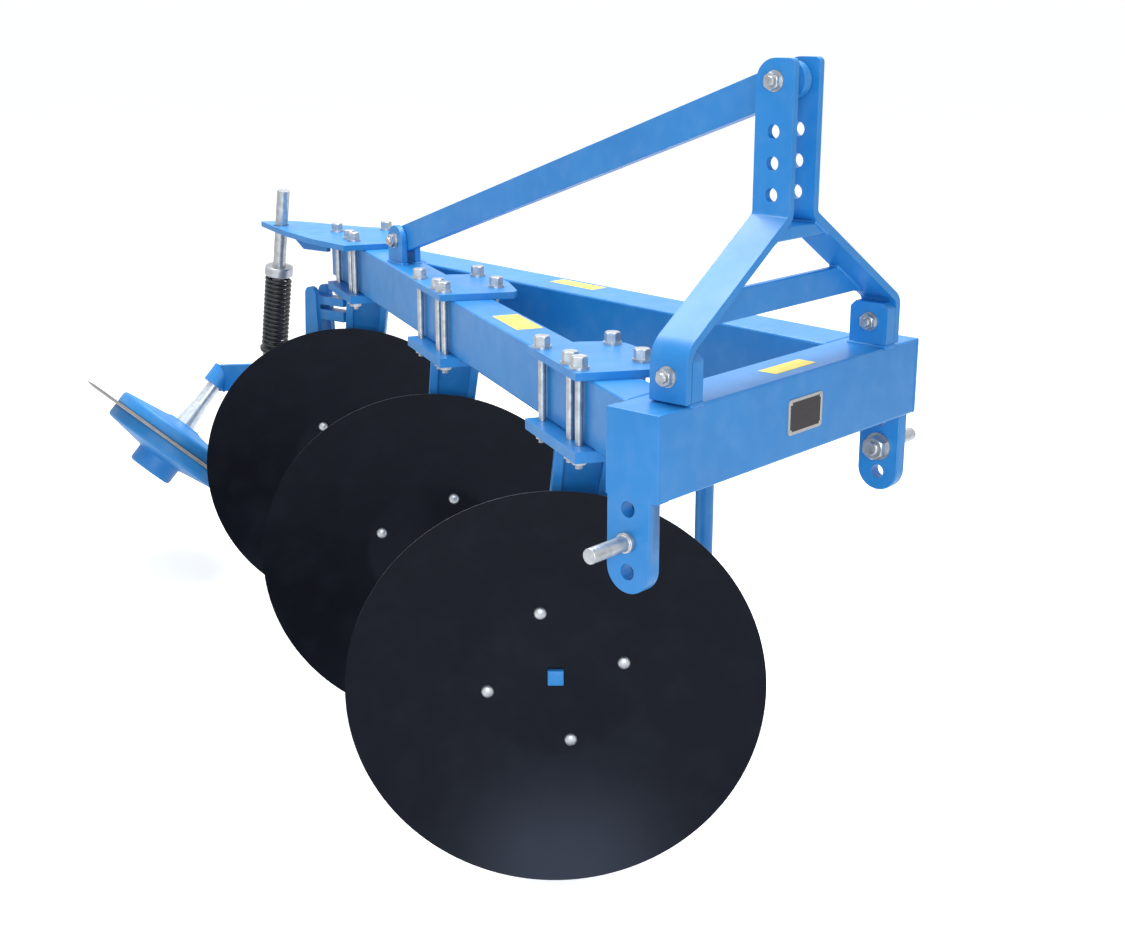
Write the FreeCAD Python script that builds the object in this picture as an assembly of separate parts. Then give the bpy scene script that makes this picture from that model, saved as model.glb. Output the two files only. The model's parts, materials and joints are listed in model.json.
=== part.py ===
import FreeCAD, Part
import os
from math import acos, atan2, cos, degrees, hypot, radians, sin, sqrt

# Three-disc mounted plough, in millimetres. The frame is modelled with z = 0 on the beam tops,
# x across the machine, y from the tractor end to the rear. At the end everything is moved so
# that the origin is under the middle of the machine, on the ground that it stands on.

V = FreeCAD.Vector
UP = V(0, 0, 1)

# ---- driving dimensions ------------------------------------------------------------------
FRAME_WIDTH = 667.0          # length of the front cross beam
FRONT_DEPTH = 90.0           # front beam section, front to back
FRONT_HEIGHT = 122.0         # front beam section, top to bottom
WALL = 8.0                   # wall of all three beams

MAIN_ANGLE = 27.8            # main beam, degrees from straight back
MAIN_WIDTH = 74.0
MAIN_HEIGHT = 101.0
MAIN_START = 38.0            # where its near face leaves the front beam
SIDE_CLEARANCE = 38.9        # side beam's inner face to the second clamp's base
SIDE_WIDTH = 97.0
SIDE_END = 39.0              # its outer face stands in this far from the front beam's end

DISC_COUNT = 3
DISC_SPACING = 663.5         # along the main beam
DISC_RADIUS = 330.0
DISC_THICKNESS = 6.0
DISC_DEPTH = 62.0            # rim plane to the flat centre
DISC_FLAT = 128.0            # radius of the flat centre
DISC_ANGLE = 47.9            # disc axis, degrees from straight back
DISC_ALONG = 238.6           # first disc, along the main beam from its start
DISC_ASIDE = -10.7           # and across it, from its near face
DISC_DROP = DISC_RADIUS + 195.6       # beam tops down to the disc centres
DISC_BOLTS = 4
DISC_BOLT_CIRCLE = 112.0
DISC_BOLT = 8.0              # radius

CLAMP_TOP = 12.0             # top clamp plate
CLAMP_BOTTOM = 17.0          # bottom clamp plate
STUD = 6.0                   # clamp bolts, radius
STUD_GAP = 2.0               # between a clamp bolt and the beam's side
HOLE_PLAY = 0.6              # bolt holes, over the bolt's radius

HUB_FLANGE = 132.0           # radius
HUB_FLANGE_THICKNESS = 14.0
HUB_SHAFT = 30.0             # radius
HUB_SHAFT_LENGTH = 104.0
HOUSING = 60.0               # radius of the bearing housing
HOUSING_GAP = 6.0            # behind the turning flange
HOUSING_LENGTH = 104.0
RUNNING_FIT = 0.05

MAST_HEIGHT = 412.0          # beam tops up to the upper pin
MAST_MIDDLE = 318.0          # from the front beam's near end
MAST_GAP = 50.0              # slot for the top link
MAST_BAR = 12.0              # flat bar thickness
MAST_BAR_WIDTH = 62.0
MAST_BEND = 230.0            # height where the bars spread
MAST_FOOT_BEND = 76.0        # height where they turn down again
MAST_BEND_RADIUS = 8.0       # inside radius of the upper bends
MAST_FOOT_RADIUS = 33.0      # and of the lower one at the near side
MAST_FAR_FOOT_RADIUS = 14.0  # at the far side
MAST_FOOT_NEAR = 54.0        # outer face of the near foot
MAST_FOOT_FAR = 600.0
MAST_FOOT_CLEAR = 3.0        # feet end this far above the beam
MAST_HOLE = 10.0             # top link holes, radius
MAST_HOLE_PITCH = 43.5
MAST_HOLES = 3
LINKAGE_BOLT = 7.0           # radius of the bolts in the mast and brace

LUG_WIDTH = 73.0
LUG_SETBACK = 14.0           # behind the front face of the beam
LUG_THICKNESS = 23.0
LUG_REACH = 257.0            # beam tops down to the tip of the lower link lugs
LUG_HOLE = 11.5              # radius
LUG_HOLE_DROPS = (137.0, 183.0, 226.0)
LINK_PIN = 11.0              # radius of the lower link pins
LINK_PIN_LENGTH = 71.0
LINK_COLLAR = 14.5
LINK_COLLAR_LENGTH = 9.0

BRACE_WIDTH = 52.0
BRACE_THICKNESS = 16.0
BRACE_FOOT_LEAD = 184.0      # its foot, ahead of the last clamp plate
BRACE_FOOT_HEIGHT = 46.0
BRACE_FAR_SLEEVE = 10.5      # between its upper eye and the left mast bar
BRACE_EYE_SLEEVE = 11.0      # radius of the sleeves beside the eye
BRACE_LUG = 30.0             # radius of the foot lugs
BRACE_LUG_PLATE = 12.0
SIDE_PLAY = 1.0              # between a forked lug and what it holds

WHEEL_RADIUS = 247.0
WHEEL_BLADE = 8.0
WHEEL_DRUM = 161.0           # radius of the two hub drums
WHEEL_DRUM_THICKNESS = 44.0
WHEEL_BEHIND = 658.1         # from the last clamp's zero line, along the beam
WHEEL_ASIDE = -358.1
WHEEL_DROP = 531.0
WHEEL_AXIS = V(0.642, -0.208, 0.738)
WHEEL_CAP = 56.0
AXLE = 17.0                  # radius
AXLE_LENGTH = 226.0
ARM_CLAMP_AT = 196.0         # along the axle from the blade
ARM_CLAMP = 30.0             # radius of the arm's socket round the axle

ROD = 14.0                   # radius
ROD_ALONG = 455.0            # from the rear clamp's zero line, along the beam
ROD_ASIDE = -103.0
ROD_TOP = 88.0
SPRING_OUTER = 31.0          # radius of the coil
SPRING_WIRE = 4.5            # radius of its wire
COLLAR_DROP = 92.0           # along the rod, below the plate's top

STAND_ALONG = 354.0          # along the side beam
STAND_LEG = 17.0             # radius
STAND_WALL = 4.0
STAND_FOOT = 45.0            # radius of the foot plate
STAND_FOOT_THICKNESS = 8.0

nodes = {}


# ---- helpers -----------------------------------------------------------------------------
def add(name, *solids):
    """Store the solids of one node."""
    nodes[name] = list(solids)


def box(x0, x1, y0, y1, z0, z1):
    return Part.makeBox(x1 - x0, y1 - y0, z1 - z0, V(x0, y0, z0))


def rod(start, end, radius):
    return Part.makeCylinder(radius, (end - start).Length, start, end - start)


def prism(points, direction):
    """A closed polygon pushed along a vector."""
    wire = Part.makePolygon(points + [points[0]])
    return Part.Face(wire).extrude(direction)


def plate(outline, bottom, top):
    """A flat plate from its (x, y) outline."""
    return prism([V(x, y, bottom) for x, y in outline], UP * (top - bottom))


def hexagon(centre, axis, across_flats, height):
    """A hexagonal nut or bolt head, from its seat along its axis."""
    axis = V(axis).normalize()
    side = axis.cross(V(0.31, 0.17, 0.94)).normalize()
    radius = across_flats / sqrt(3)
    turn = FreeCAD.Rotation(axis, 60)
    points = []
    for _ in range(6):
        points.append(centre + side * radius)
        side = turn.multVec(side)
    return prism(points, axis * height)


HEX = 3.2                    # across flats of heads and nuts, over the bolt's radius


def bolt(seat, axis, radius, length, head, flats=HEX):
    """A hex bolt: its head rises from the seat and its shank goes the other way."""
    axis = V(axis).normalize()
    shank = rod(seat, seat - axis * length, radius)
    return hexagon(seat, axis, radius * flats, head).fuse(shank)


def nut(seat, axis, radius, height):
    """A hex nut on a seat, bored for its bolt."""
    axis = V(axis).normalize()
    body = hexagon(seat, axis, radius * HEX, height)
    return body.cut(rod(seat - axis, seat + axis * (height + 1), radius + RUNNING_FIT))


def round_edges(shape, radius, axis, *places):
    """Round the straight edges that run along an axis through the given points."""
    chosen = []
    for edge in shape.Edges:
        start = edge.Vertexes[0].Point
        run = edge.Vertexes[-1].Point - start
        if run.Length > 1 and run.cross(axis).Length < 0.01:
            if any((start - place).cross(axis).Length < 0.01 for place in places):
                chosen.append(edge)
    return shape.makeFillet(radius, chosen)


def turned(shape, angle, origin):
    """Turn local x, y so that local y points ANGLE degrees from straight back, then move it."""
    result = shape.copy()
    result.rotate(V(0, 0, 0), UP, -angle)
    result.translate(origin)
    return result


def heading(angle):
    return V(sin(radians(angle)), cos(radians(angle)), 0)


def across(angle):
    return V(cos(radians(angle)), -sin(radians(angle)), 0)


def tube(x0, x1, y0, y1, z0, z1, wall):
    """A square tube along y."""
    inner = box(x0 + wall, x1 - wall, y0 - 1, y1 + 1, z0 + wall, z1 - wall)
    return box(x0, x1, y0, y1, z0, z1).cut(inner)


# ---- front beam --------------------------------------------------------------------------
LUG_NEAR_FACE = -3.0         # outer face of the near lug, which closes the beam's end
near_lug_inner = LUG_NEAR_FACE + LUG_THICKNESS
far_lug_outer = FRAME_WIDTH
far_lug_inner = far_lug_outer - LUG_THICKNESS

front_shell = box(near_lug_inner, FRAME_WIDTH - WALL, 0, FRONT_DEPTH, -FRONT_HEIGHT, 0)
front_bore = box(near_lug_inner - 1, FRAME_WIDTH, WALL, FRONT_DEPTH - WALL,
                 WALL - FRONT_HEIGHT, -WALL)
add("front_beam", front_shell.cut(front_bore))

# ---- main beam and side beam -------------------------------------------------------------
main_dir, main_across = heading(MAIN_ANGLE), across(MAIN_ANGLE)
main_origin = V(MAIN_START, FRONT_DEPTH, 0)
clamp_reach = 326.0          # clamp plates run from CLAMP_START to here, along the beam
CLAMP_START = 92.0
BEAM_TAIL = 65.0             # beam beyond the last clamp plate
tail_along = (DISC_COUNT - 1) * DISC_SPACING     # zero line of the last clamp
main_length = tail_along + clamp_reach + BEAM_TAIL


def on_main(along, aside, z=0.0):
    """A point given along the main beam and across it from its near face."""
    return main_origin + main_dir * along + main_across * aside + V(0, 0, z)


def behind_front_beam():
    return box(-3000, 4000, FRONT_DEPTH, 6000, -2000, 2000)


main_raw = tube(0, MAIN_WIDTH, -200, main_length, -MAIN_HEIGHT, 0, WALL)
main_beam = turned(main_raw, MAIN_ANGLE, main_origin).common(behind_front_beam())
add("main_beam", main_beam)

near_studs = -STUD - STUD_GAP
far_studs = MAIN_WIDTH + STUD + STUD_GAP + 14.0
STUD_PLACES = ((near_studs, 150.0), (near_studs, 186.0), (near_studs, 304.0),
               (far_studs, 165.0), (far_studs + 6, 292.0))
PLATE_EDGE = 16.0            # plate beyond the near bolts
plate_near = near_studs - PLATE_EDGE
plate_far = far_studs + 16.0

# the side beam leaves the front beam at its far end and passes the second clamp's base
side_origin = V(FRAME_WIDTH - SIDE_END, FRONT_DEPTH, 0)
base_corner = on_main(DISC_SPACING + clamp_reach - 2, plate_far) - side_origin
side_reach = hypot(base_corner.x, base_corner.y)
SIDE_ANGLE = degrees(acos(-(SIDE_WIDTH + SIDE_CLEARANCE) / side_reach)
                     - atan2(base_corner.y, base_corner.x))
side_dir, side_across = heading(SIDE_ANGLE), across(SIDE_ANGLE)
side_raw = tube(-SIDE_WIDTH, 0, -200, 3000, -FRONT_HEIGHT, 0, WALL)
side_beam = turned(side_raw, SIDE_ANGLE, side_origin).common(behind_front_beam())
side_limit = tail_along + CLAMP_START - 14.0
side_room = turned(box(MAIN_WIDTH, 4000, -2000, side_limit, -2000, 2000),
                   MAIN_ANGLE, main_origin)
add("side_beam", side_beam.common(side_room))

front_cap = box(FRAME_WIDTH - WALL, FRAME_WIDTH, 0, FRONT_DEPTH, -FRONT_HEIGHT, 0)
main_cap = turned(box(0, MAIN_WIDTH, main_length, main_length + WALL, -MAIN_HEIGHT, 0),
                  MAIN_ANGLE, main_origin)
add("beam_caps", front_cap, main_cap)


# ---- lower link lugs and pins ------------------------------------------------------------
def link_lug(x0, top):
    """A drop lug with a round foot and a row of pin holes."""
    foot = V(x0, lug_middle, LUG_WIDTH / 2 - LUG_REACH)
    lug = box(x0, x0 + LUG_THICKNESS, LUG_SETBACK, LUG_SETBACK + LUG_WIDTH, foot.z, top)
    lug = lug.fuse(rod(foot, foot + V(LUG_THICKNESS, 0, 0), LUG_WIDTH / 2)).removeSplitter()
    for drop in LUG_HOLE_DROPS:
        hole = V(x0 - 1, lug_middle, -drop)
        lug = lug.cut(rod(hole, hole + V(LUG_THICKNESS + 2, 0, 0), LUG_HOLE))
    return lug


def link_pin(face, outward):
    """A lower link pin: collar against the lug, stub outwards, shank back through the lug."""
    axis = V(outward, 0, 0)
    seat = V(face, lug_middle, -LUG_HOLE_DROPS[1])
    collar_end = seat + axis * LINK_COLLAR_LENGTH
    stub = rod(collar_end, collar_end + axis * LINK_PIN_LENGTH, LINK_PIN)
    shank = rod(seat, seat - axis * (LUG_THICKNESS + NUT_ON_PIN + 5), LUG_HOLE - 0.5)
    return rod(seat, collar_end, LINK_COLLAR).fuse([stub, shank])


NUT_ON_PIN = 20.0
lug_middle = LUG_SETBACK + LUG_WIDTH / 2
near_lug = link_lug(LUG_NEAR_FACE, 0)
end_plate = box(LUG_NEAR_FACE, near_lug_inner, 0, FRONT_DEPTH, -FRONT_HEIGHT, 0)
add("lower_link_lug_right", near_lug.fuse(end_plate).removeSplitter())
add("lower_link_lug_left", link_lug(far_lug_inner, -FRONT_HEIGHT))
add("lower_link_pins", link_pin(LUG_NEAR_FACE, -1), link_pin(far_lug_outer, 1))
add("lower_link_nuts",
    nut(V(near_lug_inner, lug_middle, -LUG_HOLE_DROPS[1]), V(1, 0, 0),
        LUG_HOLE - 0.5, NUT_ON_PIN),
    nut(V(far_lug_inner, lug_middle, -LUG_HOLE_DROPS[1]), V(-1, 0, 0),
        LUG_HOLE - 0.5, NUT_ON_PIN))

# ---- mast --------------------------------------------------------------------------------
near_slot = MAST_MIDDLE - MAST_GAP / 2
far_slot = MAST_MIDDLE + MAST_GAP / 2
bar_middle = MAST_BAR_WIDTH / 2
mast_top = MAST_HEIGHT + bar_middle


def offset_path(path, distance):
    """The same bent line, DISTANCE to the right of its direction, with mitred bends."""
    shifted = []
    for (x0, z0), (x1, z1) in zip(path, path[1:]):
        length = hypot(x1 - x0, z1 - z0)
        dx, dz = (z1 - z0) / length * distance, -(x1 - x0) / length * distance
        shifted.append(((x0 + dx, z0 + dz), (x1 + dx, z1 + dz)))
    points = [shifted[0][0]]
    for (a, b), (c, d) in zip(shifted, shifted[1:]):
        ux, uz, wx, wz = b[0] - a[0], b[1] - a[1], d[0] - c[0], d[1] - c[1]
        along = ((c[0] - a[0]) * wz - (c[1] - a[1]) * wx) / (ux * wz - uz * wx)
        points.append((a[0] + ux * along, a[1] + uz * along))
    points.append(shifted[-1][1])
    return points


def slot_side(slot_x, foot_x, side):
    """The face of a mast bar that looks at the other bar, from its top to its foot."""
    outer = [(slot_x + side * MAST_BAR, mast_top),
             (slot_x + side * MAST_BAR, MAST_BEND),
             (foot_x, MAST_FOOT_BEND), (foot_x, MAST_FOOT_CLEAR)]
    return outer, offset_path(outer, side * MAST_BAR)


def mast_bar(slot_x, foot_x, side, foot_radius):
    """A flat bar, bent outwards and down again. SIDE is the way its outside faces in x."""
    outer, inner = slot_side(slot_x, foot_x, side)
    loop = outer + inner[::-1]
    bar = prism([V(x, 0, z) for x, z in loop], V(0, MAST_BAR_WIDTH, 0))
    bends = ((outer[2], foot_radius + MAST_BAR), (inner[2], foot_radius),
             (inner[1], MAST_BEND_RADIUS + MAST_BAR), (outer[1], MAST_BEND_RADIUS))
    for (x, z), radius in bends:
        bar = round_edges(bar, radius, V(0, 1, 0), V(x, 0, z))
    x0 = min(x for x, _ in loop) - 1
    width = V(max(x for x, _ in loop) + 1 - x0, 0, 0)
    pin = V(x0, bar_middle, MAST_HEIGHT)
    outline = box(x0, x0 + width.x, 0, MAST_BAR_WIDTH, -1, mast_top)
    outline = round_edges(outline, MAST_FRONT_CORNER, V(1, 0, 0), V(x0, 0, mast_top))
    outline = round_edges(outline, bar_middle, V(1, 0, 0), V(x0, MAST_BAR_WIDTH, mast_top))
    bar = bar.common(outline)
    for index in range(1, MAST_HOLES + 1):
        hole = pin - UP * (index * MAST_HOLE_PITCH + HOLE_OFFSET)
        bar = bar.cut(rod(hole, hole + width, MAST_HOLE))
    bar = bar.cut(rod(pin, pin + width, LINKAGE_BOLT + HOLE_PLAY))
    foot = V(x0, bar_middle, MAST_FOOT_BOLT)
    return bar.cut(rod(foot, foot + width, LINKAGE_BOLT + HOLE_PLAY))


MAST_FRONT_CORNER = 8.0
HOLE_OFFSET = 24.5           # more room under the upper pin than between the holes
MAST_FOOT_BOLT = 38.0        # height of the foot bolts
MAST_LUG = 24.0              # thickness of the lugs
MAST_LUG_TOP = 68.0
MAST_LUG_CHAMFER = 9.0


def mast_lug(x0, bar, side):
    """An upright plate on the beam for a mast foot, cut back to clear the bar's bend."""
    depth = MAST_BAR_WIDTH + 4
    cut = MAST_LUG_CHAMFER
    outline = [(0, 0), (depth, 0), (depth, MAST_LUG_TOP - cut), (depth - cut, MAST_LUG_TOP),
               (cut, MAST_LUG_TOP), (0, MAST_LUG_TOP - cut)]
    lug = prism([V(x0, y, z) for y, z in outline], V(MAST_LUG, 0, 0))
    lug = lug.cut(bar.translated(V(side * SIDE_PLAY, 0, 0)))
    hole = V(x0 - 1, bar_middle, MAST_FOOT_BOLT)
    return lug.cut(rod(hole, hole + V(MAST_LUG + 2, 0, 0), LINKAGE_BOLT + HOLE_PLAY))


near_bar = mast_bar(near_slot, MAST_FOOT_NEAR, -1, MAST_FOOT_RADIUS)
far_bar = mast_bar(far_slot, MAST_FOOT_FAR, 1, MAST_FAR_FOOT_RADIUS)
add("mast_bar_right", near_bar)
add("mast_bar_left", far_bar)
near_lug_end = MAST_FOOT_NEAR + MAST_BAR + SIDE_PLAY + MAST_LUG
far_lug_start = MAST_FOOT_FAR - MAST_BAR - SIDE_PLAY - MAST_LUG
add("mast_lugs", mast_lug(near_lug_end - MAST_LUG, near_bar, 1),
    mast_lug(far_lug_start, far_bar, -1))


def between_bars(z0, z1, y0, y1):
    """A crosspiece between the spread bars, its ends cut to their slopes."""
    _, near = slot_side(near_slot, MAST_FOOT_NEAR, -1)
    _, far = slot_side(far_slot, MAST_FOOT_FAR, 1)

    def face(path, z):
        (x0_, z0_), (x1_, z1_) = path[1], path[2]
        return x0_ + (x1_ - x0_) * (z - z0_) / (z1_ - z0_)

    loop = [V(face(near, z0), y0, z0), V(face(far, z0), y0, z0),
            V(face(far, z1), y0, z1), V(face(near, z1), y0, z1)]
    return prism(loop, V(0, y1 - y0, 0))


CROSS_BOTTOM, CROSS_TOP = 86.0, 130.0
SPACER_BOTTOM, SPACER_TOP = 196.0, 214.0
add("mast_cross_bar", between_bars(CROSS_BOTTOM, CROSS_TOP, MAST_BAR_WIDTH - 14,
                                   MAST_BAR_WIDTH - 2))
add("mast_spacer_plate", between_bars(SPACER_BOTTOM, SPACER_TOP, 4, MAST_BAR_WIDTH - 2))

# ---- brace from the mast to the main beam ------------------------------------------------
brace_top = V(far_slot - BRACE_FAR_SLEEVE - BRACE_THICKNESS / 2, bar_middle, MAST_HEIGHT)
brace_foot = on_main(tail_along + CLAMP_START - BRACE_FOOT_LEAD, MAIN_WIDTH / 2,
                     BRACE_FOOT_HEIGHT)
brace_run = V(brace_foot.x - brace_top.x, brace_foot.y - brace_top.y, 0)
brace_side = V(brace_run.y, -brace_run.x, 0).normalize()
brace_dir = (brace_foot - brace_top).normalize()
brace_rise = brace_side.cross(brace_dir).normalize()


def along_brace(start, end, half_width, half_thickness):
    """A flat stretch of the brace, between two distances from its upper pin."""
    corner = brace_top + brace_dir * start - brace_rise * half_width
    corner = corner - brace_side * half_thickness
    loop = [corner, corner + brace_dir * (end - start),
            corner + brace_dir * (end - start) + brace_rise * 2 * half_width,
            corner + brace_rise * 2 * half_width]
    return prism(loop, brace_side * 2 * half_thickness)


brace_length = (brace_foot - brace_top).Length
eye_half = V(BRACE_THICKNESS / 2, 0, 0)
brace = along_brace(BRACE_WIDTH / 3, brace_length, BRACE_WIDTH / 2, BRACE_THICKNESS / 2)
top_eye = rod(brace_top - eye_half, brace_top + eye_half, BRACE_WIDTH / 2)
foot_half = brace_side * (BRACE_THICKNESS / 2)
foot_eye = rod(brace_foot - foot_half, brace_foot + foot_half, BRACE_WIDTH / 2)
brace = brace.fuse([top_eye, foot_eye])
bolt_play = LINKAGE_BOLT + HOLE_PLAY
brace = brace.cut(rod(brace_top - V(60, 0, 0), brace_top + V(60, 0, 0), bolt_play))
brace = brace.cut(rod(brace_foot - brace_side * 60, brace_foot + brace_side * 60, bolt_play))
add("brace", brace)

sleeves = []
for start, end in ((near_slot, brace_top.x - eye_half.x), (brace_top.x + eye_half.x, far_slot)):
    start, end = V(start, bar_middle, MAST_HEIGHT), V(end, bar_middle, MAST_HEIGHT)
    sleeves.append(rod(start, end, BRACE_EYE_SLEEVE).cut(rod(start, end, bolt_play)))
add("brace_sleeves", *sleeves)


def lug_plate(centre, side, radius, thickness, height, hole):
    """An upright plate, round on top, standing HEIGHT below its hole. SIDE is its normal."""
    along = UP.cross(side)
    corner = centre - along * radius - UP * height
    loop = [corner, corner + along * 2 * radius, centre + along * radius, centre - along * radius]
    body = prism(loop, side * thickness).fuse(rod(centre, centre + side * thickness, radius))
    return body.cut(rod(centre - side, centre + side * (thickness + 1), hole))


lug_offset = BRACE_THICKNESS / 2 + SIDE_PLAY
brace_lug_solids = []
for side in (brace_side, brace_side * -1):
    brace_lug_solids.append(lug_plate(brace_foot + side * lug_offset, side, BRACE_LUG,
                                      BRACE_LUG_PLATE, BRACE_FOOT_HEIGHT, bolt_play))
add("brace_lug", *brace_lug_solids)

# ---- bolts of the mast and brace ---------------------------------------------------------
HEAD = 10.0
STUD_HEAD, STUD_FLATS = 19.0, 3.7   # clamp bolts: head height, flats over radius
NUT = 12.0
THREAD = 6.0                 # thread that shows beyond a nut


def through_bolt(seat, axis, grip, radius=LINKAGE_BOLT):
    """A bolt and its nut through a stack GRIP thick; the head sits on the seat."""
    axis = V(axis).normalize()
    shaft = bolt(seat, axis, radius, grip + NUT + THREAD, HEAD)
    return shaft, nut(seat - axis * grip, axis * -1, radius, NUT)


lug_grip = 2 * (lug_offset + BRACE_LUG_PLATE)
foot_grip = MAST_BAR + SIDE_PLAY + MAST_LUG
linkage = [
    through_bolt(V(far_slot + MAST_BAR, bar_middle, MAST_HEIGHT), V(1, 0, 0),
                 MAST_GAP + 2 * MAST_BAR),
    through_bolt(V(near_lug_end, bar_middle, MAST_FOOT_BOLT), V(1, 0, 0), foot_grip),
    through_bolt(V(MAST_FOOT_FAR, bar_middle, MAST_FOOT_BOLT), V(1, 0, 0), foot_grip),
    through_bolt(brace_foot + brace_side * (lug_grip / 2), brace_side, lug_grip),
]
add("linkage_bolts", *[pair[0] for pair in linkage])
add("linkage_nuts", *[pair[1] for pair in linkage])

# ---- clamps on the main beam -------------------------------------------------------------
TOP_OUTLINE = ((plate_near, CLAMP_START + 32), (plate_far - 2, CLAMP_START + 14),
               (plate_far + 8, CLAMP_START + 26), (plate_far + 24, 215.0),
               (plate_far + 12, 292.0), (plate_far - 8, 312.0), (60.0, clamp_reach),
               (plate_near, clamp_reach))
BASE_OUTLINE = ((plate_near - 5, CLAMP_START + 20), (plate_far, CLAMP_START + 12),
                (plate_far, clamp_reach - 2), (plate_near - 5, clamp_reach - 2))
TAIL_OUTLINE = ((plate_near - 20, CLAMP_START), (plate_far - 2, CLAMP_START),
                (plate_far + 8, CLAMP_START + 12), (plate_far + 8, 300.0), (104.0, 330.0),
                (68.0, 357.0), (22.0, 410.0), (-13.0, 460.0), (-50.0, 503.0),
                (-72.0, 520.0), (-134.0, 534.0), (-116.0, 357.0), (-89.0, 222.0))


def drilled(shape, holes, radius):
    for x, y in holes:
        shape = shape.cut(rod(V(x, y, -400), V(x, y, 200), radius))
    return shape


clamp_bolts, clamp_nuts = [], []
base_top = -MAIN_HEIGHT
base_bottom = base_top - CLAMP_BOTTOM
for unit in range(DISC_COUNT):
    origin = on_main(unit * DISC_SPACING, 0)
    last = unit == DISC_COUNT - 1
    top = drilled(plate(TAIL_OUTLINE if last else TOP_OUTLINE, 0, CLAMP_TOP), STUD_PLACES,
                  STUD + HOLE_PLAY)
    if last:
        top = top.cut(rod(V(ROD_ASIDE, ROD_ALONG, -1), V(ROD_ASIDE, ROD_ALONG, CLAMP_TOP + 1),
                          ROD + 4))
    base = drilled(plate(BASE_OUTLINE, base_bottom, base_top), STUD_PLACES, STUD + HOLE_PLAY)
    add("tail_plate" if last else "clamp_plate_%d" % (unit + 1),
        turned(top, MAIN_ANGLE, origin))
    add("clamp_base_%d" % (unit + 1), turned(base, MAIN_ANGLE, origin))
    for x, y in STUD_PLACES:
        shank = CLAMP_TOP + MAIN_HEIGHT + CLAMP_BOTTOM + NUT + THREAD
        stud = bolt(V(x, y, CLAMP_TOP), UP, STUD, shank, STUD_HEAD, STUD_FLATS)
        clamp_bolts.append(turned(stud, MAIN_ANGLE, origin))
        clamp_nuts.append(turned(nut(V(x, y, base_bottom), UP * -1, STUD, NUT),
                                 MAIN_ANGLE, origin))
add("clamp_bolts", *clamp_bolts)
add("clamp_nuts", *clamp_nuts)

# ---- disc units --------------------------------------------------------------------------
# Each unit is built with its disc's rim centre at zero, x across the disc, y back along its
# axis, and z up.
LEG_TOP_ASIDE = 48.0         # the leg's top stands aside of the disc axis
LEG_TOP_WIDTH, LEG_TOP_DEPTH = 94.0, 52.0
LEG_FOOT_WIDTH, LEG_FOOT_DEPTH = 72.0, 80.0
LEG_TOP_FRONT = 20.0         # behind the rim plane
LEG_GROOVE = 16.0            # depth of the grooves between the ribs
LEG_RIB = 16.0
LEG_CLEAR = 8.0              # above the turning flange, where the leg comes forward
flange_back = DISC_DEPTH + DISC_THICKNESS + HUB_FLANGE_THICKNESS
housing_front = flange_back + HOUSING_GAP
housing_end = housing_front + HOUSING_LENGTH
leg_height = DISC_DROP + base_bottom
leg_knee = HUB_FLANGE + LEG_CLEAR


def disc_blank():
    """A dished disc: flat centre, round shoulder to the rim, open towards -y."""
    reach = DISC_RADIUS ** 2 - DISC_FLAT ** 2
    ball = sqrt(((reach - DISC_DEPTH ** 2) / (2 * DISC_DEPTH)) ** 2 + DISC_RADIUS ** 2)

    def depth(radius):
        return sqrt(ball ** 2 - radius ** 2) - sqrt(ball ** 2 - DISC_RADIUS ** 2)

    middle = (DISC_RADIUS + DISC_FLAT) / 2
    lift = V(0, DISC_THICKNESS, 0)
    rim, shoulder = V(DISC_RADIUS, 0, 0), V(DISC_FLAT, DISC_DEPTH, 0)
    arc_point = V(middle, depth(middle) * DISC_DEPTH / depth(DISC_FLAT), 0)
    centre = V(0, DISC_DEPTH, 0)
    edges = [Part.makeLine(centre, shoulder),
             Part.Arc(shoulder, arc_point, rim).toShape(),
             Part.makeLine(rim, rim + lift),
             Part.Arc(rim + lift, arc_point + lift, shoulder + lift).toShape(),
             Part.makeLine(shoulder + lift, centre + lift),
             Part.makeLine(centre + lift, centre)]
    return Part.Face(Part.Wire(edges)).revolve(V(0, 0, 0), V(0, 1, 0), 360)


def leg_section(z, inset=0.0, front=0.0, depth=None):
    """The leg's outline at one height, or the part of it that a groove takes."""
    share = z / leg_height
    aside = LEG_TOP_ASIDE * share
    half = (LEG_FOOT_WIDTH + (LEG_TOP_WIDTH - LEG_FOOT_WIDTH) * share) / 2 - inset
    above = max(0.0, z - leg_knee) / (leg_height - leg_knee)
    face = housing_front + (LEG_TOP_FRONT - housing_front) * above
    full = LEG_FOOT_DEPTH + (LEG_TOP_DEPTH - LEG_FOOT_DEPTH) * share
    y0 = face + (full + front if front < 0 else front - 1)
    y1 = face + full if depth is None else y0 + depth
    if depth is None:
        y0 = face
    points = [V(aside - half, y0, z), V(aside + half, y0, z),
              V(aside + half, y1, z), V(aside - half, y1, z)]
    return Part.makePolygon(points + points[:1])


def disc_leg():
    """A cast leg with ribs at its sides and the bearing housing at its foot."""
    leg = Part.makeLoft([leg_section(leg_height), leg_section(leg_knee), leg_section(0)],
                        True, True)
    heights = (leg_height - 22, leg_knee, HOUSING + 8)
    for front in (0.0, -LEG_GROOVE):
        leg = leg.cut(Part.makeLoft([leg_section(z, LEG_RIB, front, LEG_GROOVE + 1)
                                     for z in heights], True, True))
    leg = leg.fuse(rod(V(0, housing_front, 0), V(0, housing_end, 0), HOUSING))
    return leg.cut(rod(V(0, housing_front - 1, 0), V(0, housing_end + 1, 0),
                       HUB_SHAFT + RUNNING_FIT))


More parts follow.
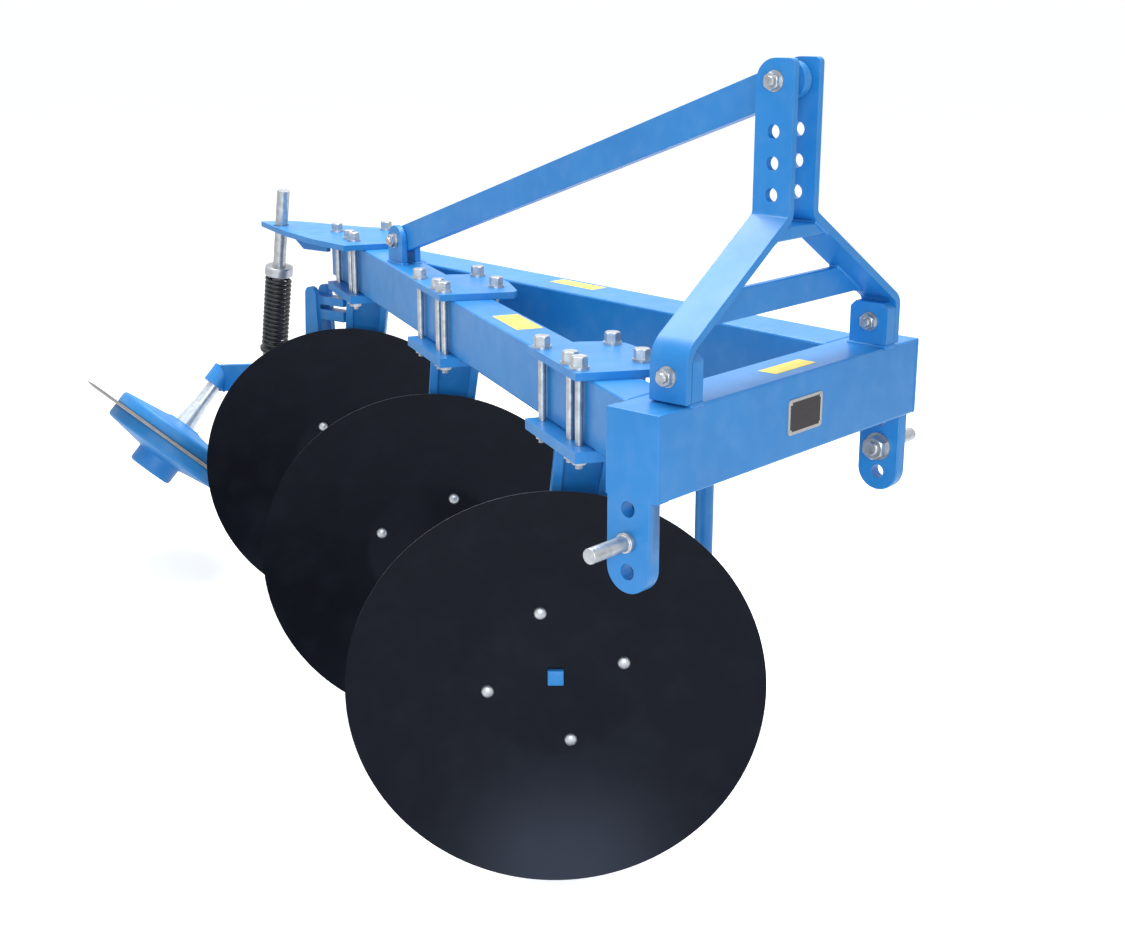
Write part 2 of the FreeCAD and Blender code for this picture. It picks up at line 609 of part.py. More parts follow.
def hub():
    """The turning hub: flange behind the disc and the shaft in the housing."""
    flange_front = DISC_DEPTH + DISC_THICKNESS
    body = rod(V(0, flange_front, 0), V(0, flange_back, 0), HUB_FLANGE)
    body = body.fuse(rod(V(0, flange_back, 0), V(0, flange_back + HUB_SHAFT_LENGTH, 0),
                         HUB_SHAFT))
    nose = box(-NOSE / 2, NOSE / 2, DISC_DEPTH - 8, flange_front + 1, -NOSE / 2, NOSE / 2)
    return body.fuse(nose)


NOSE = 26.0                  # square end of the hub, seen in the middle of the disc
NOSE_PLAY = 0.5
DISC_BOLT_HEAD, DISC_BOLT_LIP = 8.0, 2.5
BOLT_PHASES = (12.5, -18.9, -52.0)
CAP_THICKNESS = 14.0


def disc_bolt_places(phase):
    places = []
    for index in range(DISC_BOLTS):
        angle = radians(phase + index * 360.0 / DISC_BOLTS)
        places.append(V(DISC_BOLT_CIRCLE * cos(angle), 0, DISC_BOLT_CIRCLE * sin(angle)))
    return places


bearing_caps = []
for unit in range(DISC_COUNT):
    number = unit + 1
    centre = on_main(DISC_ALONG + unit * DISC_SPACING, DISC_ASIDE, -DISC_DROP)
    places = disc_bolt_places(BOLT_PHASES[unit])
    disc = disc_blank()
    square = NOSE / 2 + NOSE_PLAY
    disc = disc.cut(box(-square, square, 0, 200, -square, square))
    turning_hub = hub()
    bolts = []
    for place in places:
        seat = place + V(0, DISC_DEPTH, 0)
        end = V(place.x, flange_back, place.z)
        disc = disc.cut(rod(seat - V(0, 5, 0), end, DISC_BOLT + HOLE_PLAY))
        turning_hub = turning_hub.cut(rod(seat, end + V(0, 1, 0), DISC_BOLT + RUNNING_FIT))
        head = rod(seat - V(0, DISC_BOLT_HEAD, 0), seat, DISC_BOLT + DISC_BOLT_LIP)
        bolts.append(head.fuse(rod(seat, end, DISC_BOLT)))
    add("disc_%d" % number, turned(disc, DISC_ANGLE, centre))
    add("disc_hub_%d" % number, turned(turning_hub, DISC_ANGLE, centre))
    add("disc_bolts_%d" % number, *[turned(one, DISC_ANGLE, centre) for one in bolts])
    add("disc_leg_%d" % number, turned(disc_leg(), DISC_ANGLE, centre))
    cap_start = V(0, housing_end, 0)
    cap = rod(cap_start, cap_start + V(0, CAP_THICKNESS, 0), HOUSING - 6)
    bearing_caps.append(turned(cap, DISC_ANGLE, centre))
add("bearing_caps", *bearing_caps)

# ---- rear furrow wheel -------------------------------------------------------------------
WHEEL_CENTRE = on_main(tail_along + WHEEL_BEHIND, WHEEL_ASIDE, -WHEEL_DROP)
axle_dir = V(WHEEL_AXIS).normalize()
blade_half = axle_dir * (WHEEL_BLADE / 2)
WHEEL_BEVEL = 16.0
DRUM_SHOULDER = 14.0
DRUM_WALL = 8.0
DRUM_CORE = 46.0             # radius of the solid core round the axle


def frustum(start, end, radius_start, radius_end):
    return Part.makeCone(radius_start, radius_end, (end - start).Length, start, end - start)


rim_cone = frustum(WHEEL_CENTRE, WHEEL_CENTRE + blade_half, WHEEL_RADIUS - 1,
                   WHEEL_RADIUS - WHEEL_BEVEL)
other_cone = frustum(WHEEL_CENTRE, WHEEL_CENTRE - blade_half, WHEEL_RADIUS - 1,
                     WHEEL_RADIUS - WHEEL_BEVEL)
blade = rim_cone.fuse(other_cone).removeSplitter()
axle_play = AXLE + RUNNING_FIT
bore = rod(WHEEL_CENTRE - axle_dir * 70, WHEEL_CENTRE + axle_dir * 200, axle_play)
add("furrow_wheel_blade", blade.cut(bore))


def drum(sign):
    """One of the two rounded hub drums that grip the blade, hollow round its core."""
    way = axle_dir * sign
    start = WHEEL_CENTRE + blade_half * sign
    shoulder = start + way * (WHEEL_DRUM_THICKNESS - DRUM_SHOULDER)
    end = start + way * WHEEL_DRUM_THICKNESS
    shell = rod(start, shoulder, WHEEL_DRUM)
    shell = shell.fuse(frustum(shoulder, end, WHEEL_DRUM, WHEEL_DRUM - DRUM_SHOULDER))
    inner = WHEEL_DRUM - DRUM_WALL
    hollow = rod(start - way, shoulder - way * DRUM_WALL, inner)
    return shell.cut(hollow.cut(rod(start - way * 2, end, DRUM_CORE)))


cap_base = WHEEL_CENTRE - blade_half - axle_dir * WHEEL_DRUM_THICKNESS
cap_shoulder = cap_base - axle_dir * 28
hub_cap = rod(cap_base, cap_shoulder, WHEEL_CAP)
hub_cap = hub_cap.fuse(frustum(cap_shoulder, cap_shoulder - axle_dir * 14, WHEEL_CAP,
                               WHEEL_CAP - 18))
add("furrow_wheel_drums", drum(1).cut(bore), drum(-1).fuse(hub_cap).cut(bore))

axle_start = WHEEL_CENTRE - axle_dir * 60
axle_end = WHEEL_CENTRE + axle_dir * AXLE_LENGTH
axle_collar = WHEEL_CENTRE + blade_half + axle_dir * (WHEEL_DRUM_THICKNESS + 5.5)
axle = rod(axle_start, axle_end, AXLE)
axle = axle.fuse(frustum(axle_collar, axle_collar + axle_dir * 60, AXLE + 8, AXLE + 1))
add("furrow_wheel_axle", axle)

# ---- arm that carries the furrow wheel ---------------------------------------------------
PIVOT_ALONG, PIVOT_ASIDE, PIVOT_DROP = 374.0, -40.0, 330.0
PIVOT_PIN = 10.0             # radius
ARM_WIDTH, ARM_THICKNESS = 64.0, 20.0
EAR_RADIUS, EAR_THICKNESS = 26.0, 12.0
EAR_TOP = 17.0               # radius of the ears' upper ends
SHELF_REACH = 92.0           # forward of the pivot, past the last leg's corner
SHELVES = ((21.0, 39.0), (51.0, 74.0))    # each from and to, below the clamp base
arm_socket = WHEEL_CENTRE + axle_dir * ARM_CLAMP_AT
arm_pivot = on_main(tail_along + PIVOT_ALONG, PIVOT_ASIDE, -PIVOT_DROP)
arm_dir = (arm_socket - arm_pivot).normalize()
arm_side = arm_dir.cross(UP).normalize()
arm_rise = arm_side.cross(arm_dir).normalize()
arm_span = (arm_socket - arm_pivot).Length
corner = arm_pivot - arm_rise * (ARM_WIDTH / 2) - arm_side * (ARM_THICKNESS / 2)
arm = prism([corner, corner + arm_dir * arm_span,
             corner + arm_dir * arm_span + arm_rise * ARM_WIDTH,
             corner + arm_rise * ARM_WIDTH], arm_side * ARM_THICKNESS)
boss_half = arm_side * (ARM_THICKNESS / 2 + 4)
socket_half = axle_dir * 23.5
arm = arm.fuse([rod(arm_pivot - boss_half, arm_pivot + boss_half, ARM_WIDTH / 2),
                rod(arm_socket - socket_half, arm_socket + socket_half, ARM_CLAMP)])
arm = arm.cut(rod(arm_socket - axle_dir * 200, arm_socket + axle_dir * 200, axle_play))
arm = arm.cut(rod(arm_pivot - arm_side * 60, arm_pivot + arm_side * 60,
                  PIVOT_PIN + HOLE_PLAY))

# the spring rod ends in a fork over the arm
ROD_FOOT_SHARE = 0.46        # of the arm's length, from its pivot
ROD_FOOT_HIGH = 8.0          # above the arm's middle line
ROD_PIN = 9.0                # radius
FORK_CHEEK, FORK_WIDTH = 10.0, 38.0
FORK_TOP = 57.0              # above the pin
FORK_BRIDGE = 12.0
rod_hole = on_main(tail_along + ROD_ALONG, ROD_ASIDE, CLAMP_TOP / 2)
rod_foot = arm_pivot + arm_dir * (arm_span * ROD_FOOT_SHARE) + arm_rise * ROD_FOOT_HIGH
arm = arm.cut(rod(rod_foot - arm_side * 60, rod_foot + arm_side * 60, ROD_PIN + HOLE_PLAY))
add("wheel_arm", arm)

# two ears hang beside the last leg, on two shelves that are welded to it
along = V(arm_dir.x, arm_dir.y, 0).normalize()
ear_inner = ARM_THICKNESS / 2 + 4 + SIDE_PLAY
ear_head = V(arm_pivot.x, arm_pivot.y, base_bottom - EAR_TOP)
hanger = []
for side in (arm_side, arm_side * -1):
    face, through = side * ear_inner, side * EAR_THICKNESS
    loop = [ear_head - along * EAR_TOP, ear_head + along * EAR_TOP,
            arm_pivot + along * EAR_RADIUS, arm_pivot - along * EAR_RADIUS]
    hanger.append(prism([point + face for point in loop], through))
    for middle, radius in ((ear_head, EAR_TOP), (arm_pivot, EAR_RADIUS)):
        hanger.append(rod(middle + face, middle + face + through, radius))
for high, low in SHELVES:
    level = V(arm_pivot.x, arm_pivot.y, base_bottom - low)
    loop = [level + along * EAR_TOP - arm_side * ear_inner,
            level + along * EAR_TOP + arm_side * ear_inner,
            level - along * SHELF_REACH + arm_side * ear_inner,
            level - along * SHELF_REACH - arm_side * ear_inner]
    hanger.append(prism(loop, UP * (low - high)))
bracket = hanger[0].fuse(hanger[1:]).cut(nodes["disc_leg_%d" % DISC_COUNT][0])
hole_half = arm_side * (ear_inner + EAR_THICKNESS + 1)
bracket = bracket.cut(rod(arm_pivot - hole_half, arm_pivot + hole_half, PIVOT_PIN + HOLE_PLAY))
add("pivot_ears", bracket.removeSplitter())

ear_face = ear_inner + EAR_THICKNESS
pivot_bolt = through_bolt(arm_pivot - arm_side * ear_face, arm_side * -1, 2 * ear_face,
                          PIVOT_PIN)
foot_face = ARM_THICKNESS / 2 + SIDE_PLAY + FORK_CHEEK
foot_bolt = through_bolt(rod_foot - arm_side * foot_face, arm_side * -1, 2 * foot_face,
                         ROD_PIN)
add("arm_bolts", pivot_bolt[0], foot_bolt[0])
add("arm_nuts", pivot_bolt[1], foot_bolt[1])

# ---- spring rod of the furrow wheel ------------------------------------------------------
rod_dir = (rod_foot - rod_hole).normalize()
rod_length = (rod_foot - rod_hole).Length
COLLAR = 32.0                # radius of the collar over the spring
COLLAR_THICKNESS = 22.0
CUP = 34.0                   # radius of the cup under it
CUP_THICKNESS = 10.0
fork_up = (rod_dir * -1 - arm_side * (rod_dir.dot(arm_side) * -1)).normalize()
fork_across = arm_side.cross(fork_up).normalize()


def fork_block(inner, outer, bottom, top):
    """A block of the fork, between two distances from the arm's middle plane."""
    start = rod_foot + fork_up * bottom - fork_across * (FORK_WIDTH / 2) + arm_side * inner
    loop = [start, start + fork_across * FORK_WIDTH,
            start + fork_across * FORK_WIDTH + fork_up * (top - bottom),
            start + fork_up * (top - bottom)]
    return prism(loop, arm_side * (outer - inner))


cheek_face = ARM_THICKNESS / 2 + SIDE_PLAY
spring_rod = rod(rod_hole - rod_dir * ROD_TOP, rod_foot - rod_dir * (FORK_TOP - 6), ROD)
pieces = [fork_block(-foot_face, foot_face, FORK_TOP - FORK_BRIDGE, FORK_TOP)]
for inner, outer in ((cheek_face, foot_face), (-foot_face, -cheek_face)):
    pieces.append(fork_block(inner, outer, 0, FORK_TOP))
    pieces.append(rod(rod_foot + arm_side * inner, rod_foot + arm_side * outer,
                      FORK_WIDTH / 2))
spring_rod = spring_rod.fuse(pieces)
spring_rod = spring_rod.cut(rod(rod_foot - arm_side * 60, rod_foot + arm_side * 60,
                                ROD_PIN + HOLE_PLAY))
add("spring_rod", spring_rod)


def on_rod(distance):
    return rod_hole + rod_dir * distance


def ring(start, end, outer):
    bore = rod(on_rod(start - 1), on_rod(end + 1), ROD + RUNNING_FIT)
    return rod(on_rod(start), on_rod(end), outer).cut(bore)


cup_start = rod_length - FORK_TOP - CUP_THICKNESS - 2
spring_start = COLLAR_DROP + COLLAR_THICKNESS
add("spring_collars", ring(COLLAR_DROP, spring_start, COLLAR),
    ring(cup_start, cup_start + CUP_THICKNESS, CUP))

coil = rod(on_rod(spring_start), on_rod(cup_start), SPRING_OUTER)
hollow = rod(on_rod(spring_start - 1), on_rod(cup_start + 1), SPRING_OUTER - 2 * SPRING_WIRE)
add("spring", coil.cut(hollow))

RIB_THICKNESS, RIB_DEPTH = 12.0, 38.0
rib_start, rib_end = V(-20, 340, 0), V(-78, 432, 0)
rib_run = rib_end - rib_start
rib_side = UP.cross(rib_run).normalize()
rib_loop = [rib_start, rib_end, rib_end - UP * (RIB_DEPTH / 3),
            rib_start + rib_run * 0.7 - UP * RIB_DEPTH, rib_start - UP * RIB_DEPTH]
rib = prism([point - rib_side * (RIB_THICKNESS / 2) for point in rib_loop],
            rib_side * RIB_THICKNESS)
add("tail_rib", turned(rib, MAIN_ANGLE, on_main(tail_along, 0)))

# ---- parking stand -----------------------------------------------------------------------
SLEEVE = 52.0                # square block on the side beam's outer face
SLEEVE_TOP, SLEEVE_HEIGHT = 12.0, 96.0
STAND_FIT = 0.1
LEG_ABOVE_SLEEVE = 6.0
ground = -(DISC_DROP + DISC_RADIUS)
stand_axis = V(SLEEVE / 2, STAND_ALONG, 0)
sleeve = box(0, SLEEVE, STAND_ALONG - SLEEVE / 2, STAND_ALONG + SLEEVE / 2,
             -SLEEVE_TOP - SLEEVE_HEIGHT, -SLEEVE_TOP)
sleeve = sleeve.cut(rod(stand_axis - UP * 500, stand_axis + UP * 50, STAND_LEG + STAND_FIT))
screw_height = -SLEEVE_TOP - SLEEVE_HEIGHT / 2
screw_start = stand_axis + V(STAND_LEG + STAND_FIT, 0, screw_height)
SCREW, SCREW_LENGTH, HANDLE = 7.0, 52.0, 5.0
screw_end = screw_start + V(SCREW_LENGTH, 0, 0)
sleeve = sleeve.cut(rod(screw_start - V(5, 0, 0), screw_end, SCREW + RUNNING_FIT))
add("stand_sleeve", turned(sleeve, SIDE_ANGLE, side_origin))
handle_half = V(0, 38, 0)
handle_at = screw_end - V(HANDLE + 3, 0, 0)
screw = rod(screw_start, screw_end, SCREW)
screw = screw.fuse(rod(handle_at - handle_half, handle_at + handle_half, HANDLE))
add("stand_screw", turned(screw, SIDE_ANGLE, side_origin))

leg_top = stand_axis + UP * (LEG_ABOVE_SLEEVE - SLEEVE_TOP)
leg_foot = stand_axis + UP * (ground + STAND_FOOT_THICKNESS)
stand_leg = rod(leg_foot, leg_top, STAND_LEG)
stand_leg = stand_leg.cut(rod(leg_foot + UP * 4, leg_top - UP * 4, STAND_LEG - STAND_WALL))
stand_leg = stand_leg.fuse(rod(leg_foot - UP * STAND_FOOT_THICKNESS, leg_foot, STAND_FOOT))
add("stand_leg", turned(stand_leg, SIDE_ANGLE, side_origin))

# ---- nameplate ---------------------------------------------------------------------------
PLATE_NEAR, PLATE_FAR, PLATE_TOP, PLATE_BOTTOM, PLATE_THICKNESS = 298.0, 386.0, 35.0, 88.0, 2.0
add("nameplate", box(PLATE_NEAR, PLATE_FAR, -PLATE_THICKNESS, 0, -PLATE_BOTTOM, -PLATE_TOP))

# ---- blank yellow labels on the beam tops -------------------------------------------------
LABEL_FILM = 0.5
front_label = box(300, 405, 24, 56, 0, LABEL_FILM)
main_label = turned(box(20, 66, 500, 625, 0, LABEL_FILM), MAIN_ANGLE, main_origin)
side_label = turned(box(-50, -15, 579, 699, 0, LABEL_FILM), SIDE_ANGLE, side_origin)
add("labels", front_label, main_label, side_label)


# ---- to the ground and out ---------------------------------------------------------------
def export():
    whole = Part.makeCompound([solid for solids in nodes.values() for solid in solids])
    limits = whole.optimalBoundingBox(False, False)
    shift = V(-(limits.XMin + limits.XMax) / 2, -(limits.YMin + limits.YMax) / 2, -limits.ZMin)
    os.makedirs("parts", exist_ok=True)
    for name, solids in nodes.items():
        placed = []
        for solid in solids:
            moved = solid.copy()
            moved.translate(shift)
            placed.append(moved)
        shape = placed[0] if len(placed) == 1 else Part.makeCompound(placed)
        shape.exportStep("parts/%s.step" % name)
        count = len(shape.Solids)
        if count != len(solids) or not shape.isValid():
            print("CHECK", name, count, len(solids), shape.isValid())
    print("nodes", len(nodes), "shift", shift, "size", limits.XLength, limits.YLength,
          limits.ZLength)
    return shift


shift = export()
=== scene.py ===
import json
import math

import bmesh
import bpy
import numpy as np
from mathutils import Matrix, Vector
from mathutils.geometry import convex_hull_2d


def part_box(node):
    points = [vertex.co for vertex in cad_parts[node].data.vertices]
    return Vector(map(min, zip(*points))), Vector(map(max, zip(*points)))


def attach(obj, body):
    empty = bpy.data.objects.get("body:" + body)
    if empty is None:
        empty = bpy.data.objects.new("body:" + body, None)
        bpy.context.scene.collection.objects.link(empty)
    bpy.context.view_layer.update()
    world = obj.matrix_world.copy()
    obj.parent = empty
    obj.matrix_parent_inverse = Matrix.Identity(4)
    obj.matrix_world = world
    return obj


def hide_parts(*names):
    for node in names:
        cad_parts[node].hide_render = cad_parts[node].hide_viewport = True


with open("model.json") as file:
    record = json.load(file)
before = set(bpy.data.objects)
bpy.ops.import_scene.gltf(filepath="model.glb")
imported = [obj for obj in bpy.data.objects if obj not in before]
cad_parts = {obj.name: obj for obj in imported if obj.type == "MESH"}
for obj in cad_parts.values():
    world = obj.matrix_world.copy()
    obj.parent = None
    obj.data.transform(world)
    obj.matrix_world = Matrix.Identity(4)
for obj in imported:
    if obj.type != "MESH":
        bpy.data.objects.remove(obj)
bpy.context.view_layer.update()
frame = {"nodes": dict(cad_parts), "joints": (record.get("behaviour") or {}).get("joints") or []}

UP = Vector((0, 0, 1))

# ==== frame beams ====
# A cross beam, a long angled beam and a shorter side beam, folded and welded into boxes from
# steel plate, then sprayed together with a glossy blue machine enamel.


def linear(code):
    """A colour written as sRGB hex, turned to linear."""
    parts = [int(code[i:i + 2], 16) / 255 for i in (1, 3, 5)]
    return tuple(c / 12.92 if c <= 0.04045 else ((c + 0.055) / 1.055) ** 2.4 for c in parts) + (1,)


def put(tree, kind, links=None, **settings):
    """Adds one node with its settings, and gives its inputs values or links."""
    made = tree.nodes.new(kind)
    for name, value in settings.items():
        setattr(made, name, value)
    for socket, value in (links or {}).items():
        if isinstance(value, bpy.types.NodeSocket):
            tree.links.new(value, made.inputs[socket])
        else:
            made.inputs[socket].default_value = value
    return made


def empty_finish(name):
    """A material with nothing in it but the coordinate that its patterns are laid out on."""
    finish = bpy.data.materials.new(name)
    finish.use_nodes = True
    finish.node_tree.nodes.clear()
    place = put(finish.node_tree, "ShaderNodeTexCoord").outputs["Object"]
    return finish, finish.node_tree, place


def mottle(tree, place, size, detail, low, high, start=0.3, end=0.7):
    """Blotches about SIZE metres across, as a number from LOW to HIGH."""
    noise = put(tree, "ShaderNodeTexNoise",
                {"Vector": place, "Scale": 1 / size, "Detail": detail}).outputs["Fac"]
    return put(tree, "ShaderNodeMapRange", {"Value": noise, "From Min": start, "From Max": end,
                                            "To Min": low, "To Max": high}).outputs["Result"]


def surface(tree, colour, roughness, bump=None, depth=0.0001, **fixed):
    """Closes a material with its shader. BUMP is a height, DEPTH its relief in metres."""
    links = {"Base Color": colour, "Roughness": roughness}
    for name, value in fixed.items():
        links[name.replace("_", " ")] = value
    if bump is not None:
        relief = put(tree, "ShaderNodeBump", {"Height": bump, "Distance": depth})
        links["Normal"] = relief.outputs["Normal"]
    shader = put(tree, "ShaderNodeBsdfPrincipled", links)
    put(tree, "ShaderNodeOutputMaterial", {"Surface": shader.outputs["BSDF"]})


def blue_enamel(name, relief_size, relief_depth, dull):
    """Two-pack machine enamel: even and glossy, with the light ripple of a spray gun.
    RELIEF_SIZE and RELIEF_DEPTH are the ripple's in metres, DULL its least roughness."""
    finish, tree, place = empty_finish(name)
    drift = mottle(tree, place, 0.16, 3.0, 0.0, 1.0)
    colour = put(tree, "ShaderNodeMix", {0: drift, 6: linear("#1A7ABF"), 7: linear("#2383C8")},
                 data_type="RGBA").outputs[2]
    # a breath of settled dust lightens the paint in soft patches
    dust = mottle(tree, place, 0.035, 5.0, 0.0, 0.08, 0.45, 0.8)
    colour = put(tree, "ShaderNodeMix", {0: dust, 6: colour, 7: linear("#A9C6E2")},
                 data_type="RGBA").outputs[2]
    gloss = mottle(tree, place, 0.05, 3.0, dull, dull + 0.08)
    relief = mottle(tree, place, relief_size, 4.0, 0.0, 1.0, 0.0, 1.0)
    surface(tree, colour, gloss, relief, relief_depth)
    return finish


sprayed_enamel = blue_enamel("sprayed_blue_enamel", relief_size=0.004,
                             relief_depth=0.00005, dull=0.34)


def rest_shape(node):
    """The CAD piece as a bmesh with its loose triangles joined and flat faces whole."""
    shape = bmesh.new()
    shape.from_mesh(frame["nodes"][node].data)
    bmesh.ops.remove_doubles(shape, verts=shape.verts, dist=0.00002)
    bmesh.ops.dissolve_degenerate(shape, dist=0.00001, edges=shape.edges)
    bmesh.ops.dissolve_limit(shape, angle_limit=math.radians(0.5), verts=shape.verts,
                             edges=shape.edges)
    return shape


def piece_from(name, shape, finish, smooth=35):
    """A new object from a bmesh, smooth except at edges sharper than SMOOTH degrees."""
    mesh = bpy.data.meshes.new(name)
    shape.to_mesh(mesh)
    shape.free()
    mesh.shade_smooth()
    mesh.set_sharp_from_angle(angle=math.radians(smooth))
    mesh.materials.clear()
    mesh.materials.append(finish)
    piece = bpy.data.objects.new(name, mesh)
    bpy.context.scene.collection.objects.link(piece)
    return piece


def settle(piece):
    """Turns what the modifiers make into the piece's own plain mesh."""
    graph = bpy.context.evaluated_depsgraph_get()
    mesh = bpy.data.meshes.new_from_object(piece.evaluated_get(graph))
    piece.modifiers.clear()
    piece.data = mesh
    return piece


def fit(piece, body, slot, *nodes):
    """The piece rides on a body and stands for its CAD nodes, which are hidden. SLOT is not used.
    """
    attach(piece, body)
    if nodes:
        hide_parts(*nodes)
    return piece


def hollow(face):
    """True where a face is part of the wall of a round hole: it turns gently inwards."""
    return any(not line.is_convex and 0.02 < line.calc_face_angle(0.0) < 0.6
               for line in face.edges)


def eased(node, edge, finish, slot, body="frame", steps=2, seam=None, rims=True):
    """A copy of a CAD piece with its sharp edges eased, as grinding and paint leave them.
    Edges that lie in the plane x = SEAM stay, because the next piece goes on from there, and
    so do the rims of drilled holes where RIMS is false."""
    shape = rest_shape(node)
    weight = shape.edges.layers.float.new("bevel_weight_edge")
    for line in shape.edges:
        turn = line.calc_face_angle(0.0)
        at_seam = seam is not None and all(abs(v.co.x - seam) < 0.0003 for v in line.verts)
        drilled = not rims and any(hollow(face) for face in line.link_faces)
        if turn > math.radians(35) and not at_seam and not drilled:
            line[weight] = 1.0
    piece = piece_from(node + "_piece", shape, finish)
    bevel = piece.modifiers.new("eased edges", "BEVEL")
    bevel.width = edge
    bevel.segments = steps
    bevel.limit_method = "WEIGHT"
    bevel.loop_slide = False
    flat = piece.modifiers.new("flat faces stay flat", "WEIGHTED_NORMAL")
    flat.weight = 90
    flat.keep_sharp = True
    return fit(settle(piece), body, slot, node)


BEAM_EDGE = 0.004            # outside corner of folded 8 mm plate
# the planes of the cross beam's two ends
near_seam, far_seam = (corner.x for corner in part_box("front_beam"))
eased("front_beam", BEAM_EDGE, sprayed_enamel, "blue_paint", steps=3, seam=near_seam)
for beam in ("main_beam", "side_beam"):
    eased(beam, BEAM_EDGE, sprayed_enamel, "blue_paint", steps=3)
eased("beam_caps", 0.003, sprayed_enamel, "blue_paint", steps=3)

# ==== lower link lugs and pins ====
# Thick flame-cut plates that the tractor's lower links take hold of. One closes the cross
# beam's near end, the other is welded under it. Each has a turned, zinc plated pin.
PLATE_EDGE = 0.0022          # ground edge of flame-cut plate
eased("lower_link_lug_right", PLATE_EDGE, sprayed_enamel, "blue_paint", seam=near_seam,
      rims=False)
eased("lower_link_lug_left", PLATE_EDGE, sprayed_enamel, "blue_paint", rims=False)


# zinc plate on turned steel: pale and satin, a little cloudy where it was dipped
zinc_plate, tree, place = empty_finish("zinc_plated_steel")
cloud = mottle(tree, place, 0.012, 3.0, 0.0, 1.0)
colour = put(tree, "ShaderNodeMix", {0: cloud, 6: linear("#A4A8AC"), 7: linear("#C6C8C9")},
             data_type="RGBA").outputs[2]
gloss = mottle(tree, place, 0.006, 2.0, 0.32, 0.42)
scratch = mottle(tree, place, 0.0012, 2.0, 0.0, 1.0, 0.0, 1.0)
surface(tree, colour, gloss, scratch, 0.00002, Metallic=0.85)


def solids_of(node):
    """The corner points of each separate solid in a CAD node, one array for each."""
    shape = rest_shape(node)
    groups, seen = [], set()
    for first in shape.verts:
        if first in seen:
            continue
        waiting, group = [first], []
        seen.add(first)
        while waiting:
            corner = waiting.pop()
            group.append(corner.co[:])
            for line in corner.link_edges:
                other = line.other_vert(corner)
                if other not in seen:
                    seen.add(other)
                    waiting.append(other)
        groups.append(np.array(group))
    shape.free()
    return groups


def rounded(profile, radius):
    """A bent line with each of its corners turned into a small curve."""
    line = [Vector(point) for point in profile]
    soft = [line[0]]
    for before, corner, after in zip(line, line[1:], line[2:]):
        into, out = before - corner, after - corner
        cut = min(radius, into.length * 0.45, out.length * 0.45)
        start, end = corner + into.normalized() * cut, corner + out.normalized() * cut
        for share in (0.0, 0.33, 0.67, 1.0):
            one, two = start.lerp(corner, share), corner.lerp(end, share)
            soft.append(one.lerp(two, share))
    return soft + [line[-1]]


def lathe(profile, origin, axis, steps=64, shape=None):
    """A turned solid. PROFILE is (distance along the axis, radius), from end to end; a radius
    of zero closes an end."""
    shape = shape or bmesh.new()
    axis = Vector(axis).normalized()
    side = axis.orthogonal().normalized()
    other = axis.cross(side)
    rings = []
    for along, radius in profile:
        centre = Vector(origin) + axis * along
        if radius < 1e-6:
            rings.append([shape.verts.new(centre)])
            continue
        ring = []
        for index in range(steps):
            angle = 2 * math.pi * index / steps
            ring.append(shape.verts.new(centre + side * (radius * math.cos(angle))
                                        + other * (radius * math.sin(angle))))
        rings.append(ring)
    made = []
    for one, two in zip(rings, rings[1:]):
        for index in range(steps):
            following = (index + 1) % steps
            corners = [one[index % len(one)], one[following % len(one)],
                       two[following % len(two)], two[index % len(two)]]
            corners = list(dict.fromkeys(corners))
            if len(corners) > 2:
                made.append(shape.faces.new(corners))
    bmesh.ops.recalc_face_normals(shape, faces=made)
    return shape


def long_axis(points):
    """The two end centres of a long turned solid, its fatter end first, and the distance of
    each point along it and out from it."""
    middle = points.mean(0)
    run = np.linalg.svd(points - middle)[2][0]
    along = (points - middle) @ run
    ends = [points[along < along.min() + 0.0003].mean(0),
            points[along > along.max() - 0.0003].mean(0)]
    run = (ends[1] - ends[0]) / np.linalg.norm(ends[1] - ends[0])
    along = (points - ends[0]) @ run
    out = np.linalg.norm(points - ends[0] - np.outer(along, run), axis=1)
    if out[along > along.max() / 2].max() > out[along < along.max() / 2].max():
        ends.reverse()
        run, along = -run, along.max() - along
    return Vector(ends[0]), Vector(run), along, out


THREAD_PITCH = 0.0025        # drawn coarser than the real 2 mm, so that it shows


def thread_profile(start, end, radius):
    """The zigzag outline of a screw thread between two distances."""
    root = radius * 0.88
    line = []
    for index in range(int((end - start) / THREAD_PITCH)):
        line += [(start + index * THREAD_PITCH, root),
                 (start + (index + 0.5) * THREAD_PITCH, radius)]
    return line + [(end, root)]


pin_mesh = bmesh.new()
for points in solids_of("lower_link_pins"):
    low, high = points.min(0), points.max(0)
    outward = -1 if abs(low[0] - near_seam) < abs(high[0] - far_seam) else 1
    tip = Vector((low[0] if outward < 0 else high[0], (low[1] + high[1]) / 2,
                  (low[2] + high[2]) / 2))
    length = high[0] - low[0]
    collar = (high[1] - low[1]) / 2
    out = np.hypot(points[:, 1] - tip.y, points[:, 2] - tip.z)
    from_tip = np.abs(points[:, 0] - tip.x)
    stub = out[from_tip < 0.0005].max()
    wide = from_tip[out > collar - 0.0005]
    outline = [(0, 0), (0, stub), (wide.min(), stub), (wide.min(), collar),
               (wide.max(), collar), (wide.max(), stub * 0.9)]
    outline = rounded(outline, 0.0016) + thread_profile(wide.max() + 0.0002, length, stub)
    lathe(outline + [(length, 0)], tip, (-outward, 0, 0), 40, pin_mesh)
fit(piece_from("lower_link_pins_piece", pin_mesh, zinc_plate), "frame", "zinc_steel",
    "lower_link_pins")

# ==== mast ====
# Two flat bars, bent outwards to straddle the cross beam, with a row of top link holes.
# A bar and a plate welded between them keep them apart.
for part in ("mast_bar_right", "mast_bar_left", "mast_lugs", "mast_cross_bar",
             "mast_spacer_plate"):
    eased(part, PLATE_EDGE, sprayed_enamel, "blue_paint")

